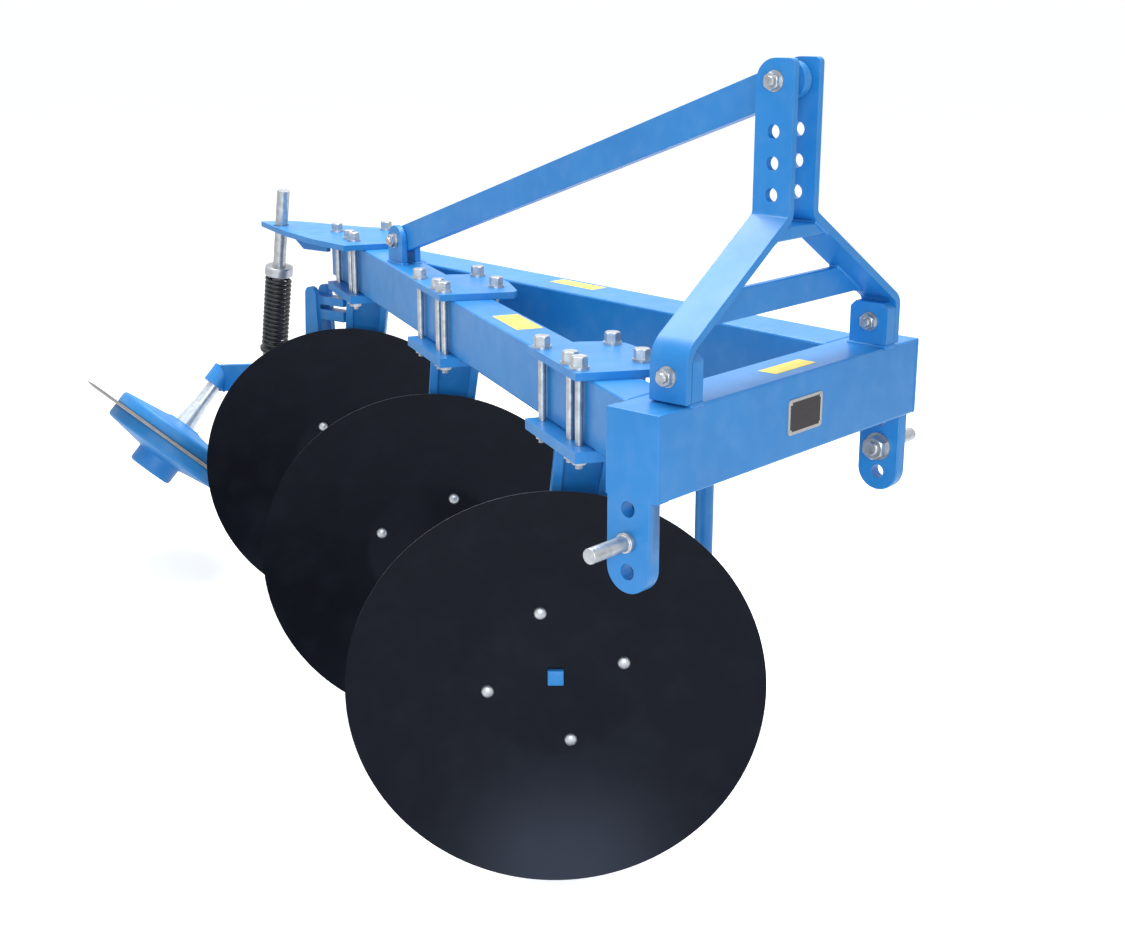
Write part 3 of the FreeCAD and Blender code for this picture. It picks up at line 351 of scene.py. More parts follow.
# ==== brace ====
# One flat bar from the mast's top pin to a forked lug near the tail of the long beam. Short
# zinc plated sleeves keep its eye in place between the mast bars.
for part in ("brace", "brace_lug"):
    eased(part, PLATE_EDGE, sprayed_enamel, "blue_paint")
eased("brace_sleeves", 0.0012, zinc_plate, "zinc_steel")

# ==== clamp plates ====
# Flame-cut plates above and below the long beam. Bolts draw them together over it, so that
# each disc's leg can be moved along the beam.
for part in ("clamp_plate_1", "clamp_plate_2", "clamp_base_1", "clamp_base_2",
             "clamp_base_3", "tail_plate", "tail_rib"):
    eased(part, 0.0018, sprayed_enamel, "blue_paint")

# ==== weld beads ====
# Each plate, lug and beam end is run round with a fillet weld, a row of small ripples left by
# the torch, and painted over with the rest.


def empty_tree(name, **sizes):
    """A geometry tree whose named inputs are its sizes. Returns the tree and its inputs."""
    tree = bpy.data.node_groups.new(name, "GeometryNodeTree")
    tree.interface.new_socket("Geometry", in_out="OUTPUT", socket_type="NodeSocketGeometry")
    tree.interface.new_socket("Geometry", in_out="INPUT", socket_type="NodeSocketGeometry")
    for label, value in sizes.items():
        kind = {int: "NodeSocketInt", float: "NodeSocketFloat"}.get(type(value),
                                                                    "NodeSocketMaterial")
        tree.interface.new_socket(label, in_out="INPUT", socket_type=kind)
    return tree, put(tree, "NodeGroupInput").outputs


def finish_tree(tree, made, finish):
    """Ends a tree: instances become real geometry and take their material."""
    real = put(tree, "GeometryNodeRealizeInstances", {0: made}).outputs[0]
    coated = put(tree, "GeometryNodeSetMaterial", {0: real, 2: finish}).outputs[0]
    put(tree, "NodeGroupOutput", {0: coated})


def grown(name, guide, tree, smooth=35, **sizes):
    """Runs a tree on a guide mesh and keeps what it makes as a plain mesh."""
    piece = bpy.data.objects.new(name, guide)
    bpy.context.scene.collection.objects.link(piece)
    growth = piece.modifiers.new("growth", "NODES")
    growth.node_group = tree
    for socket in tree.interface.items_tree:
        if socket.in_out == "INPUT" and socket.name in sizes:
            growth[socket.identifier] = sizes[socket.name]
    settle(piece)
    piece.data.shade_smooth()
    piece.data.set_sharp_from_angle(angle=math.radians(smooth))
    return piece


def foot_outline(points, way):
    """The outline of the flat face of a solid that looks along WAY."""
    way = Vector(way).normalized()
    level = points @ np.array(way)
    face = points[level > level.max() - 0.0004]
    side = way.orthogonal().normalized()
    other = way.cross(side)
    flat = [(Vector(point).dot(side), Vector(point).dot(other)) for point in face]
    return [Vector(face[index]) for index in convex_hull_2d(flat)]


def rearward_run(beam, apart_from=None):
    """The level way that a beam runs, towards the rear: along its top's longest edge that
    doesn't lie along APART_FROM."""
    outline = foot_outline(beam, UP)
    edges = [after - before for before, after in zip(outline, outline[1:] + outline[:1])]
    if apart_from is not None:
        edges = [edge for edge in edges if abs(edge.normalized().dot(apart_from)) < 0.999]
    way = max(edges, key=lambda edge: edge.length).normalized()
    return way if way.y > 0 else -way


FORWARDS = Vector((0, -1, 0))
beam_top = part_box("front_beam")[1].z
long_beam, short_beam = solids_of("main_beam")[0], solids_of("side_beam")[0]
LONG_WAY = rearward_run(long_beam)
LONG_SIDE = LONG_WAY.cross(UP).normalized()
SHORT_SIDE = rearward_run(short_beam, LONG_WAY).cross(UP).normalized()
# each seam is a closed outline, and the height where it lies flush and has no bead
seams = [(foot_outline(long_beam, FORWARDS), beam_top),
         (foot_outline(short_beam, FORWARDS), beam_top),
         (foot_outline(short_beam, -LONG_SIDE), beam_top),
         (foot_outline(solids_of("lower_link_lug_left")[0], UP), None)]
for node in ("mast_lugs", "brace_lug"):
    seams += [(foot_outline(points, -UP), None) for points in solids_of(node)]
for node in ("tail_rib", "disc_leg_1", "disc_leg_2", "disc_leg_3"):
    seams.append((foot_outline(solids_of(node)[0], UP), None))
for node in ("mast_cross_bar", "mast_spacer_plate"):
    points = solids_of(node)[0]
    halfway = (points[:, 0].min() + points[:, 0].max()) / 2
    for corners in (points[points[:, 0] < halfway], points[points[:, 0] > halfway]):
        middle = corners.mean(0)
        turn = np.arctan2(corners[:, 2] - middle[2], corners[:, 1] - middle[1])
        seams.append(([Vector(corners[index]) for index in np.argsort(turn)], None))
seams.append((foot_outline(solids_of("stand_sleeve")[0], -SHORT_SIDE), None))

seam_shape = bmesh.new()
for outline, flush in seams:
    corners = [seam_shape.verts.new(point) for point in outline]
    for one, two in zip(corners, corners[1:] + corners[:1]):
        both_flush = flush is not None and max(abs(end.co.z - flush) for end in (one, two)) < 0.001
        if not both_flush and (one.co - two.co).length > 0.0005:
            seam_shape.edges.new((one, two))
seam_guide = bpy.data.meshes.new("weld_seams")
seam_shape.to_mesh(seam_guide)
seam_shape.free()

tree, size = empty_tree("weld bead", Bead=0.0, Ripple=0.0, Finish=None)
line = put(tree, "GeometryNodeMeshToCurve", {0: size["Geometry"]}).outputs[0]
# about three rings of the bead for each ripple
step = put(tree, "ShaderNodeMath", {0: size["Ripple"], 1: 0.34}, operation="MULTIPLY").outputs[0]
line = put(tree, "GeometryNodeResampleCurve", {0: line, 3: step}, mode="LENGTH").outputs[0]
travel = put(tree, "GeometryNodeSplineParameter").outputs["Length"]
beat = put(tree, "ShaderNodeMath", {0: travel, 1: size["Ripple"]}, operation="DIVIDE").outputs[0]
beat = put(tree, "ShaderNodeMath", {0: beat, 1: 2 * math.pi}, operation="MULTIPLY").outputs[0]
wave = put(tree, "ShaderNodeMath", {0: beat}, operation="SINE").outputs[0]
place = put(tree, "GeometryNodeInputPosition").outputs[0]
# the hand that leads the torch is unsteady over a centimetre or two
wander = put(tree, "ShaderNodeTexNoise", {"Vector": place, "Scale": 70.0}).outputs["Fac"]
swell = put(tree, "ShaderNodeMath", {0: wave, 1: 0.09, 2: 0.72},
            operation="MULTIPLY_ADD").outputs[0]
swell = put(tree, "ShaderNodeMath", {0: wander, 1: 0.55, 2: swell},
            operation="MULTIPLY_ADD").outputs[0]
ring = put(tree, "GeometryNodeCurvePrimitiveCircle", {"Resolution": 8, "Radius": size["Bead"]})
bead = put(tree, "GeometryNodeCurveToMesh", {0: line, 1: ring.outputs[0], 2: swell, 3: True})
finish_tree(tree, bead.outputs[0], size["Finish"])
fit(grown("weld_beads", seam_guide, tree, 80, Bead=0.0036, Ripple=0.0046,
          Finish=sprayed_enamel), "frame", "blue_paint")

# ==== bolts and nuts ====
# Forged hex bolts, nuts and washers, zinc plated. Their faces are chamfered to a cone, which
# leaves the curved corners of a real nut, and a few turns of thread show beyond each nut.

# each bolt is its head's top, the way it runs, its shank's radius, its length, and its head's
# height and radius over the corners
bolts = []
for node in ("clamp_bolts", "linkage_bolts", "arm_bolts"):
    for points in solids_of(node):
        head_top, run, along, out = long_axis(points)
        shank = out[along > along.max() * 0.9].max()
        head = along[out > shank * 1.3].max()
        bolts.append((head_top, run, shank, along.max(), head, out.max()))
# each hex is a seat, the way it stands up from there, a radius over its corners, and a height
hexes = [(top + run * head, -run, across, head) for top, run, _, _, head, across in bolts]
for node in ("clamp_nuts", "linkage_nuts", "arm_nuts"):
    for points in solids_of(node):
        middle = Vector(points.mean(0))
        top, run, *_ = min(bolts, key=lambda bolt: (middle - bolt[0]).cross(bolt[1]).length)
        level = (points - np.array(top)) @ np.array(run)
        out = np.linalg.norm(points - np.array(top) - np.outer(level, run), axis=1)
        hexes.append((top + run * level.min(), run, out.max(), level.max() - level.min()))
for points in solids_of("lower_link_nuts"):
    low, high = points.min(0), points.max(0)
    inward = 1 if abs(low[0] - near_seam) < abs(high[0] - far_seam) else -1
    seat = Vector((low[0] if inward > 0 else high[0], (low[1] + high[1]) / 2,
                   (low[2] + high[2]) / 2))
    across = max(np.hypot(points[:, 1] - seat.y, points[:, 2] - seat.z))
    hexes.append((seat, Vector((inward, 0, 0)), across, high[0] - low[0]))
# six screws hold each bearing cap, on the same axis as the disc's joint
disc_joints = [joint for joint in frame["joints"] if joint["name"].startswith("disc_")]
CAP_SCREW_CIRCLE, CAP_SCREW, CAP_SCREW_HEAD = 0.041, 0.0075, 0.0052
for points, joint in zip(solids_of("bearing_caps"), disc_joints):
    origin, way = Vector(joint["pos_m"]), Vector(joint["axis"])
    level = max((Vector(point) - origin).dot(way) for point in points)
    side = way.cross(UP).normalized()
    for turn in range(6):
        arm = Matrix.Rotation(math.radians(30 + turn * 60), 3, way) @ side
        hexes.append((origin + way * level + arm * CAP_SCREW_CIRCLE, way, CAP_SCREW,
                      CAP_SCREW_HEAD))


def marked_points(name, places, **marks):
    """A guide mesh of loose points. Each mark is an attribute, one value for each point."""
    guide = bpy.data.meshes.new(name)
    guide.from_pydata([tuple(place) for place in places], [], [])
    for label, values in marks.items():
        kind = "FLOAT_VECTOR" if len(np.shape(values)) > 1 else "FLOAT"
        made = guide.attributes.new(label, kind, "POINT")
        made.data.foreach_set("vector" if kind == "FLOAT_VECTOR" else "value",
                              np.array(values, float).ravel())
    return guide


def facing(tree):
    """A rotation that stands an instance up along its point's own axis."""
    way = put(tree, "GeometryNodeInputNamedAttribute", {0: "facing"},
              data_type="FLOAT_VECTOR").outputs[0]
    return put(tree, "FunctionNodeAlignRotationToVector", {2: way}, axis="Z").outputs[0]


hex_guide = marked_points("hex_places", [h[0] for h in hexes], facing=[h[1] for h in hexes],
                          across=[h[2] for h in hexes], height=[h[3] for h in hexes])
tree, size = empty_tree("hex heads and nuts", Chamfer=0.0, Washer=0.0, Finish=None)
# one nut of radius and height 1, cut to a cone at its top, on a thin round washer
prism = put(tree, "GeometryNodeMeshCylinder", {0: 6, 3: 1.0, 4: 1.0}).outputs[0]
prism = put(tree, "GeometryNodeTransform", {0: prism, 1: (0, 0, 0.5)}).outputs[0]
cone = put(tree, "GeometryNodeMeshCone", {0: 48, 3: size["Chamfer"], 4: 2.4, 5: 1.0}).outputs[0]
cut = put(tree, "GeometryNodeMeshBoolean", {1: prism}, operation="INTERSECT", solver="EXACT")
tree.links.new(cone, cut.inputs[1])
washer = put(tree, "GeometryNodeMeshCylinder", {0: 36, 3: size["Washer"], 4: 0.2}).outputs[0]
washer = put(tree, "GeometryNodeTransform", {0: washer, 1: (0, 0, 0.1)}).outputs[0]
both = put(tree, "GeometryNodeJoinGeometry", {0: cut.outputs[0]})
tree.links.new(washer, both.inputs[0])
wide = put(tree, "GeometryNodeInputNamedAttribute", {0: "across"}, data_type="FLOAT").outputs[0]
tall = put(tree, "GeometryNodeInputNamedAttribute", {0: "height"}, data_type="FLOAT").outputs[0]
stretch = put(tree, "ShaderNodeCombineXYZ", {0: wide, 1: wide, 2: tall}).outputs[0]
placed = put(tree, "GeometryNodeInstanceOnPoints",
             {0: size["Geometry"], 2: both.outputs[0], 5: facing(tree), 6: stretch}).outputs[0]
finish_tree(tree, placed, size["Finish"])
fit(grown("hex_heads_and_nuts", hex_guide, tree, 25, Chamfer=0.84, Washer=1.13,
          Finish=zinc_plate), "frame", "zinc_steel", "clamp_nuts", "linkage_nuts", "arm_nuts",
    "lower_link_nuts")

SUNK = 0.002                 # a shank begins this far inside its head
shank_guide = marked_points("shank_places", [bolt[0] + bolt[1] * SUNK for bolt in bolts],
                            facing=[bolt[1] for bolt in bolts], thick=[bolt[2] for bolt in bolts],
                            reach=[bolt[3] - SUNK for bolt in bolts])
tree, size = empty_tree("bolt shanks", Thread=0.0, Pitch=0.0, Finish=None)
plain = put(tree, "GeometryNodeMeshCylinder", {0: 28, 3: 1.0, 4: 1.0}).outputs[0]
plain = put(tree, "GeometryNodeTransform", {0: plain, 1: (0, 0, 0.5)}).outputs[0]
thick = put(tree, "GeometryNodeInputNamedAttribute", {0: "thick"}, data_type="FLOAT").outputs[0]
reach = put(tree, "GeometryNodeInputNamedAttribute", {0: "reach"}, data_type="FLOAT").outputs[0]
smooth_run = put(tree, "ShaderNodeMath", {0: reach, 1: size["Thread"]},
                 operation="SUBTRACT").outputs[0]
stretch = put(tree, "ShaderNodeCombineXYZ", {0: thick, 1: thick, 2: smooth_run}).outputs[0]
shanks = put(tree, "GeometryNodeInstanceOnPoints",
             {0: size["Geometry"], 2: plain, 5: facing(tree), 6: stretch}).outputs[0]
spindle = put(tree, "GeometryNodeCurvePrimitiveLine", {2: (0, 0, 1), 3: size["Thread"]},
              mode="DIRECTION").outputs[0]
half_pitch = put(tree, "ShaderNodeMath", {0: size["Pitch"], 1: 0.5},
                 operation="MULTIPLY").outputs[0]
spindle = put(tree, "GeometryNodeResampleCurve", {0: spindle, 3: half_pitch},
              mode="LENGTH").outputs[0]
turns = put(tree, "GeometryNodeInputIndex").outputs[0]
odd = put(tree, "ShaderNodeMath", {0: turns, 1: 2.0}, operation="MODULO").outputs[0]
# root and crest of the thread in turn, as shares of the shank's radius
tooth = put(tree, "ShaderNodeMath", {0: odd, 1: 0.13, 2: 0.87},
            operation="MULTIPLY_ADD").outputs[0]
ring = put(tree, "GeometryNodeCurvePrimitiveCircle", {"Resolution": 20, "Radius": 1.0}).outputs[0]
thread = put(tree, "GeometryNodeCurveToMesh", {0: spindle, 1: ring, 2: tooth, 3: True}).outputs[0]
way = put(tree, "GeometryNodeInputNamedAttribute", {0: "facing"},
          data_type="FLOAT_VECTOR").outputs[0]
shift = put(tree, "ShaderNodeVectorMath", {0: way, "Scale": smooth_run},
            operation="SCALE").outputs[0]
far = put(tree, "GeometryNodeSetPosition", {0: size["Geometry"], 3: shift}).outputs[0]
slim = put(tree, "ShaderNodeCombineXYZ", {0: thick, 1: thick, 2: 1.0}).outputs[0]
threads = put(tree, "GeometryNodeInstanceOnPoints",
              {0: far, 2: thread, 5: facing(tree), 6: slim}).outputs[0]
both = put(tree, "GeometryNodeJoinGeometry", {0: shanks})
tree.links.new(threads, both.inputs[0])
finish_tree(tree, both.outputs[0], size["Finish"])
fit(grown("bolt_shanks", shank_guide, tree, 40, Thread=0.026, Pitch=0.0024, Finish=zinc_plate),
    "frame", "zinc_steel", "clamp_bolts", "linkage_bolts", "arm_bolts")

# ==== disc legs ====
# Cast steel legs with ribs and a bearing housing, their skin a little rough from the sand
# mould under the paint. A turned cap with six screws closes each housing.
cast_enamel = blue_enamel("enamel_on_sand_casting", relief_size=0.0022, relief_depth=0.0005,
                          dull=0.42)
CAST_EDGE = 0.0045           # soft edge left by the mould
for number in (1, 2, 3):
    eased("disc_leg_%d" % number, CAST_EDGE, cast_enamel, "blue_paint", steps=3)
cap_shape = bmesh.new()
for points, joint in zip(solids_of("bearing_caps"), disc_joints):
    origin, way = Vector(joint["pos_m"]), Vector(joint["axis"])
    levels = (points - np.array(origin)) @ np.array(way)
    start, end = levels.min(), levels.max()
    rim = np.linalg.norm(points - np.array(origin) - np.outer(levels, way), axis=1).max()
    outline = [(start, rim), (end, rim), (end, rim * 0.5), (end - 0.003, rim * 0.46),
               (end - 0.003, 0)]
    lathe([(start, 0)] + rounded(outline, 0.003), origin, way, 64, cap_shape)
fit(piece_from("bearing_caps_piece", cap_shape, cast_enamel), "frame", "blue_paint",
    "bearing_caps")

# ==== plough discs ====
# Dished discs of hardened steel, ground to a bevel on the back of the rim and coated with a
# thin black stove enamel. Low domed bolts hold each one to a cast hub with a square end.

# black enamel, baked on rolled sheet: near black and satin, with a cold sheen
black, tree, place = empty_finish("black_stove_enamel")
cloud = mottle(tree, place, 0.09, 4.0, 0.0, 1.0)
colour = put(tree, "ShaderNodeMix", {0: cloud, 6: linear("#050609"), 7: linear("#08090D")},
             data_type="RGBA").outputs[2]
# faint dust, settled in soft patches scattered over the dish
haze = mottle(tree, place, 0.05, 5.0, 0.0, 0.015, 0.45, 0.8)
colour = put(tree, "ShaderNodeMix", {0: haze, 6: colour, 7: linear("#6F7A88")},
             data_type="RGBA").outputs[2]
gloss = mottle(tree, place, 0.05, 3.0, 0.30, 0.34)
skin = mottle(tree, place, 0.004, 3.0, 0.0, 1.0, 0.0, 1.0)
surface(tree, colour, gloss, skin, 0.00001, Specular_IOR_Level=0.19,
        Specular_Tint=linear("#D3DEFF"))

# ground with a coarse wheel: bare grey steel, scored and a little uneven in its shine
ground_steel, tree, place = empty_finish("ground_edge_steel")
streak = mottle(tree, place, 0.004, 4.0, 0.0, 1.0)
colour = put(tree, "ShaderNodeMix", {0: streak, 6: linear("#5C5E62"), 7: linear("#7C7D80")},
             data_type="RGBA").outputs[2]
gloss = mottle(tree, place, 0.002, 3.0, 0.34, 0.5)
scores = mottle(tree, place, 0.0009, 2.0, 0.0, 1.0, 0.0, 1.0)
surface(tree, colour, gloss, scores, 0.00003, Metallic=0.9)

DISC, DISC_FLAT, DISC_DEPTH, DISC_SHEET = 0.330, 0.128, 0.062, 0.006
RIM_BEVEL, RIM_LEFT = 0.015, 0.0012          # width of the ground bevel, and its edge left
span = DISC ** 2 - DISC_FLAT ** 2
# the radius of the ball that the dish is pressed over
ball = math.hypot((span - DISC_DEPTH ** 2) / (2 * DISC_DEPTH), DISC)


def dish(radius):
    """How far the dish lies behind its rim at a radius."""
    return math.sqrt(ball ** 2 - radius ** 2) - math.sqrt(ball ** 2 - DISC ** 2)


front = [(DISC_DEPTH, 0), (DISC_DEPTH, DISC_FLAT * 0.5)]
front += [(dish(r), r) for r in np.linspace(DISC_FLAT, DISC, 18)]
back = [(dish(r) + DISC_SHEET, r) for r in np.linspace(DISC - RIM_BEVEL, DISC_FLAT, 16)]
back += [(DISC_DEPTH + DISC_SHEET, DISC_FLAT * 0.5), (DISC_DEPTH + DISC_SHEET, 0)]
HUB, HUB_THICKNESS, SHAFT, NOSE, NOSE_PROUD = 0.132, 0.014, 0.030, 0.026, 0.008
hub_front = DISC_DEPTH + DISC_SHEET
hub_back = hub_front + HUB_THICKNESS
for number, joint in enumerate(disc_joints, 1):
    origin, way = Vector(joint["pos_m"]), Vector(joint["axis"])
    body = joint["child"]
    shape = lathe(front + [(RIM_LEFT, DISC)] + back, origin, way, 144)
    disc = piece_from("disc_%d_piece" % number, shape, black, 30)
    disc.data.materials.append(ground_steel)
    for face in disc.data.polygons:
        height = (face.center - origin).dot(way)
        out = ((face.center - origin) - way * height).length
        if out > DISC - RIM_BEVEL and height > dish(out) + 0.0005:
            face.material_index = 1
    fit(disc, body, "black_paint", "disc_%d" % number)

    bolt_shape = bmesh.new()
    for points in solids_of("disc_bolts_%d" % number):
        levels = (points - np.array(origin)) @ np.array(way)
        middle = Vector(points.mean(0))
        middle -= way * (middle - origin).dot(way)
        out = np.linalg.norm(points - np.array(middle) - np.outer(levels, way), axis=1)
        low, high, head = levels.min(), levels.max(), out.max()
        shank = out[levels > high - 0.001].max()
        seat = DISC_DEPTH + 0.001
        dome = [(low, 0), (low + 0.0004, head * 0.4), (low + 0.0016, head * 0.75),
                (low + 0.0036, head * 0.96), (low + 0.0052, head), (seat, head), (seat, shank),
                (high - 0.001, shank), (high, shank - 0.001), (high, 0)]
        lathe(dome, middle, way, 32, bolt_shape)
    fit(piece_from("disc_bolts_%d_piece" % number, bolt_shape, zinc_plate, 50), body,
        "zinc_steel", "disc_bolts_%d" % number)

    outline = [(hub_front, HUB * 0.3), (hub_front, HUB), (hub_back, HUB),
               (hub_back, SHAFT * 1.5), (hub_back + 0.003, SHAFT), (hub_back + 0.02, SHAFT)]
    shape = lathe([(hub_front, 0)] + rounded(outline, 0.003) + [(hub_back + 0.02, 0)],
                  origin, way, 96)
    nose = bmesh.ops.create_cube(shape, size=1)["verts"]
    turn = Matrix((way.cross(UP), way, UP)).transposed().to_4x4()
    depth = NOSE_PROUD + DISC_SHEET
    centre = origin + way * (DISC_DEPTH - NOSE_PROUD + depth / 2)
    bmesh.ops.transform(shape, verts=nose, matrix=Matrix.Translation(centre) @ turn
                        @ Matrix.Diagonal((NOSE, depth, NOSE, 1)))
    edges = [edge for edge in shape.edges if edge.verts[0] in nose and edge.verts[1] in nose]
    bmesh.ops.bevel(shape, geom=edges, offset=0.0022, segments=3, affect="EDGES", profile=0.5)
    fit(piece_from("disc_hub_%d_piece" % number, shape, cast_enamel), body, "blue_paint",
        "disc_hub_%d" % number)

# ==== rear furrow wheel ====
# A sharpened steel blade between two cast drums, so that it runs in the bottom of the furrow
# without sinking. A domed cap closes its hub, and it turns on a bright steel axle.

# hot rolled and left bare: dull grey in patches, with brown where rust has begun
rolled_steel, tree, place = empty_finish("rolled_blade_steel")
patch = mottle(tree, place, 0.02, 4.0, 0.0, 1.0)
colour = put(tree, "ShaderNodeMix", {0: patch, 6: linear("#6D6B6C"), 7: linear("#8A8785")},
             data_type="RGBA").outputs[2]
rust = mottle(tree, place, 0.009, 6.0, 0.0, 0.5, 0.55, 0.75)
colour = put(tree, "ShaderNodeMix", {0: rust, 6: colour, 7: linear("#7A6453")},
             data_type="RGBA").outputs[2]
gloss = mottle(tree, place, 0.004, 3.0, 0.36, 0.55)
surface(tree, colour, gloss, patch, 0.00006, Metallic=0.75)

wheel = next(joint for joint in frame["joints"] if joint["name"] == "furrow_wheel_spin")
hub_centre, axle_way = Vector(wheel["pos_m"]), Vector(wheel["axis"])


def turned_extent(points):
    """The distances along the wheel's axle that a turned solid spans, and its radius."""
    levels = (points - np.array(hub_centre)) @ np.array(axle_way)
    out = np.linalg.norm(points - np.array(hub_centre) - np.outer(levels, axle_way), axis=1)
    return levels.min(), levels.max(), out.max(), levels, out


low, high, rim, *_ = turned_extent(solids_of("furrow_wheel_blade")[0])
BLADE_BEVEL, BLADE_BORE, BLADE_EDGE = 0.016, 0.03, 0.0006
blade = [(low, BLADE_BORE), (low, rim - BLADE_BEVEL), (-BLADE_EDGE, rim), (BLADE_EDGE, rim),
         (high, rim - BLADE_BEVEL), (high, BLADE_BORE), (low, BLADE_BORE)]
shape = lathe(blade, hub_centre, axle_way, 128)
bmesh.ops.remove_doubles(shape, verts=shape.verts, dist=0.00001)
fit(piece_from("furrow_wheel_blade_piece", shape, rolled_steel, 12), "furrow_wheel",
    "bare_steel", "furrow_wheel_blade")

drum_shape = bmesh.new()
# one drum has a domed cap, and the axle runs into the other
for points in solids_of("furrow_wheel_drums"):
    low, high, rim, levels, out = turned_extent(points)
    if low > 0:
        inner, outer, way = low, high, 1
    else:
        inner, outer, way = high, levels[out > rim * 0.3].min(), -1
        deep = levels[out > 0.06].min()
    face = outer if way > 0 else deep
    edge = levels[out > rim - 0.001]
    edge = edge.max() if way > 0 else edge.min()
    outline = [(inner, rim), (edge, rim), (face, 0.060), (face + way * 0.003, 0.044)]
    if way > 0:
        outline += [(face + 0.006, 0.040), (face + 0.006, 0.020)]
    else:
        cap = out[levels < face - 0.005].max()
        outline = outline[:3] + [(face, cap + 0.004), (face - 0.002, cap), (low, cap), (low, 0.012)]
    soft = rounded([(inner, rim - 0.01)] + outline, 0.009)
    soft[1:4] = [Vector((inner, rim - 0.002)), Vector((inner + way * 0.0008, rim - 0.0006)),
                 Vector((inner + way * 0.002, rim))]
    lathe([(inner, 0)] + [tuple(point) for point in soft] + [(soft[-1][0], 0)], hub_centre,
          axle_way, 112, drum_shape)
fit(piece_from("furrow_wheel_drums_piece", drum_shape, cast_enamel, 40), "furrow_wheel",
    "blue_paint", "furrow_wheel_drums")

# drawn cold through a die and left bare: pale, smooth and satin
drawn_steel, tree, place = empty_finish("cold_drawn_steel_bar")
cloud = mottle(tree, place, 0.01, 3.0, 0.0, 1.0)
colour = put(tree, "ShaderNodeMix", {0: cloud, 6: linear("#C2C9CF"), 7: linear("#DBE1E6")},
             data_type="RGBA").outputs[2]
gloss = mottle(tree, place, 0.004, 2.0, 0.3, 0.38)
surface(tree, colour, gloss, mottle(tree, place, 0.001, 2.0, 0.0, 1.0, 0.0, 1.0), 0.00002,
        Metallic=0.6)
eased("furrow_wheel_axle", 0.003, drawn_steel, "bare_steel")

# ==== wheel arm and its pivot ====
# A flat bar with a boss at the pivot and a clamped socket for the axle, hung between two
# ears under the last clamp.
eased("wheel_arm", 0.0025, cast_enamel, "blue_paint", steps=3, rims=False)
eased("pivot_ears", PLATE_EDGE, sprayed_enamel, "blue_paint", rims=False)

# ==== spring rod and spring ====
# A drawn bar slides through the tail plate and pins to the arm. A black coil spring between
# a bright collar and a cup holds the wheel down.
eased("spring_rod", 0.0025, zinc_plate, "bare_steel")
collars = eased("spring_collars", 0.0025, zinc_plate, "zinc_steel")
# dipped in black paint and hung to dry: a thick soft skin, dark grey where it catches light
spring_paint, tree, place = empty_finish("black_dipped_spring_steel")
tone = mottle(tree, place, 0.006, 4.0, 0.0, 1.0)
colour = put(tree, "ShaderNodeMix", {0: tone, 6: linear("#1A1B1D"), 7: linear("#2C2D2F")},
             data_type="RGBA").outputs[2]
surface(tree, colour, mottle(tree, place, 0.003, 3.0, 0.3, 0.45), tone, 0.00008)

# the lower cup is dipped with the spring, and only the upper collar is bright
collars.data.materials.append(spring_paint)
between = sum(corner.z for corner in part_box("spring_collars")) / 2
for face in collars.data.polygons:
    face.material_index = int(face.center.z < between)
coil_start, coil_way, along, out = long_axis(solids_of("spring")[0])
WIRE, COIL_PITCH = 0.0045, 0.0105
spring_guide = marked_points("spring_place", [coil_start], facing=[coil_way])
tree, size = empty_tree("coil spring", Wire=0.0, Coil=0.0, Height=0.0, Turns=0.0, Finish=None)
helix = put(tree, "GeometryNodeCurveSpiral", {0: 32, 1: size["Turns"], 2: size["Coil"],
                                              3: size["Coil"], 4: size["Height"]}).outputs[0]
ring = put(tree, "GeometryNodeCurvePrimitiveCircle",
           {"Resolution": 10, "Radius": size["Wire"]}).outputs[0]
wound = put(tree, "GeometryNodeCurveToMesh", {0: helix, 1: ring, 3: True}).outputs[0]
placed = put(tree, "GeometryNodeInstanceOnPoints",
             {0: size["Geometry"], 2: wound, 5: facing(tree)}).outputs[0]
finish_tree(tree, placed, size["Finish"])
height = float(along.max()) - 2 * WIRE
spring = grown("coil_spring", spring_guide, tree, 80, Wire=WIRE, Coil=float(out.max()) - WIRE,
               Height=height, Turns=height / COIL_PITCH, Finish=spring_paint)
spring.data.transform(Matrix.Translation(coil_way * WIRE))
fit(spring, "frame", "black_paint", "spring")

# ==== parking stand ====
# A tube leg with a round foot plate, held in a square sleeve on the side beam by a clamp
# screw with a T handle.
eased("stand_sleeve", PLATE_EDGE, sprayed_enamel, "blue_paint")
tube_enamel = blue_enamel("enamel_on_drawn_tube", relief_size=0.005, relief_depth=0.00004,
                          dull=0.34)
eased("stand_leg", 0.0018, tube_enamel, "dark_blue_paint", "parking_stand")
eased("stand_screw", 0.0016, zinc_plate, "zinc_steel")

# ==== labels and nameplate ====
# Blank yellow vinyl labels on the beam tops, and a blank dark anodised plate with a bright
# rim, riveted at its corners.

# cast film, stuck on: strong flat yellow, a little faded in patches
vinyl, tree, place = empty_finish("yellow_vinyl_film")
fade = mottle(tree, place, 0.02, 4.0, 0.0, 1.0)
colour = put(tree, "ShaderNodeMix", {0: fade, 6: linear("#F2CF3C"), 7: linear("#F6DC6A")},
             data_type="RGBA").outputs[2]
surface(tree, colour, mottle(tree, place, 0.004, 3.0, 0.3, 0.42), fade, 0.00002)
eased("labels", 0.0002, vinyl, "yellow_label", steps=1)

# brushed along its length, then anodised and dyed: dark, with a fine level grain
anodised, tree, place = empty_finish("dark_anodised_plate")
brush = put(tree, "ShaderNodeMapping", {"Vector": place, "Scale": (30.0, 1.0, 900.0)}).outputs[0]
grain = mottle(tree, brush, 1.0, 2.0, 0.0, 1.0)
colour = put(tree, "ShaderNodeMix", {0: grain, 6: linear("#2A2528"), 7: linear("#3A3437")},
             data_type="RGBA").outputs[2]
surface(tree, colour, mottle(tree, place, 0.004, 3.0, 0.3, 0.42), grain, 0.00002, Metallic=0.5)
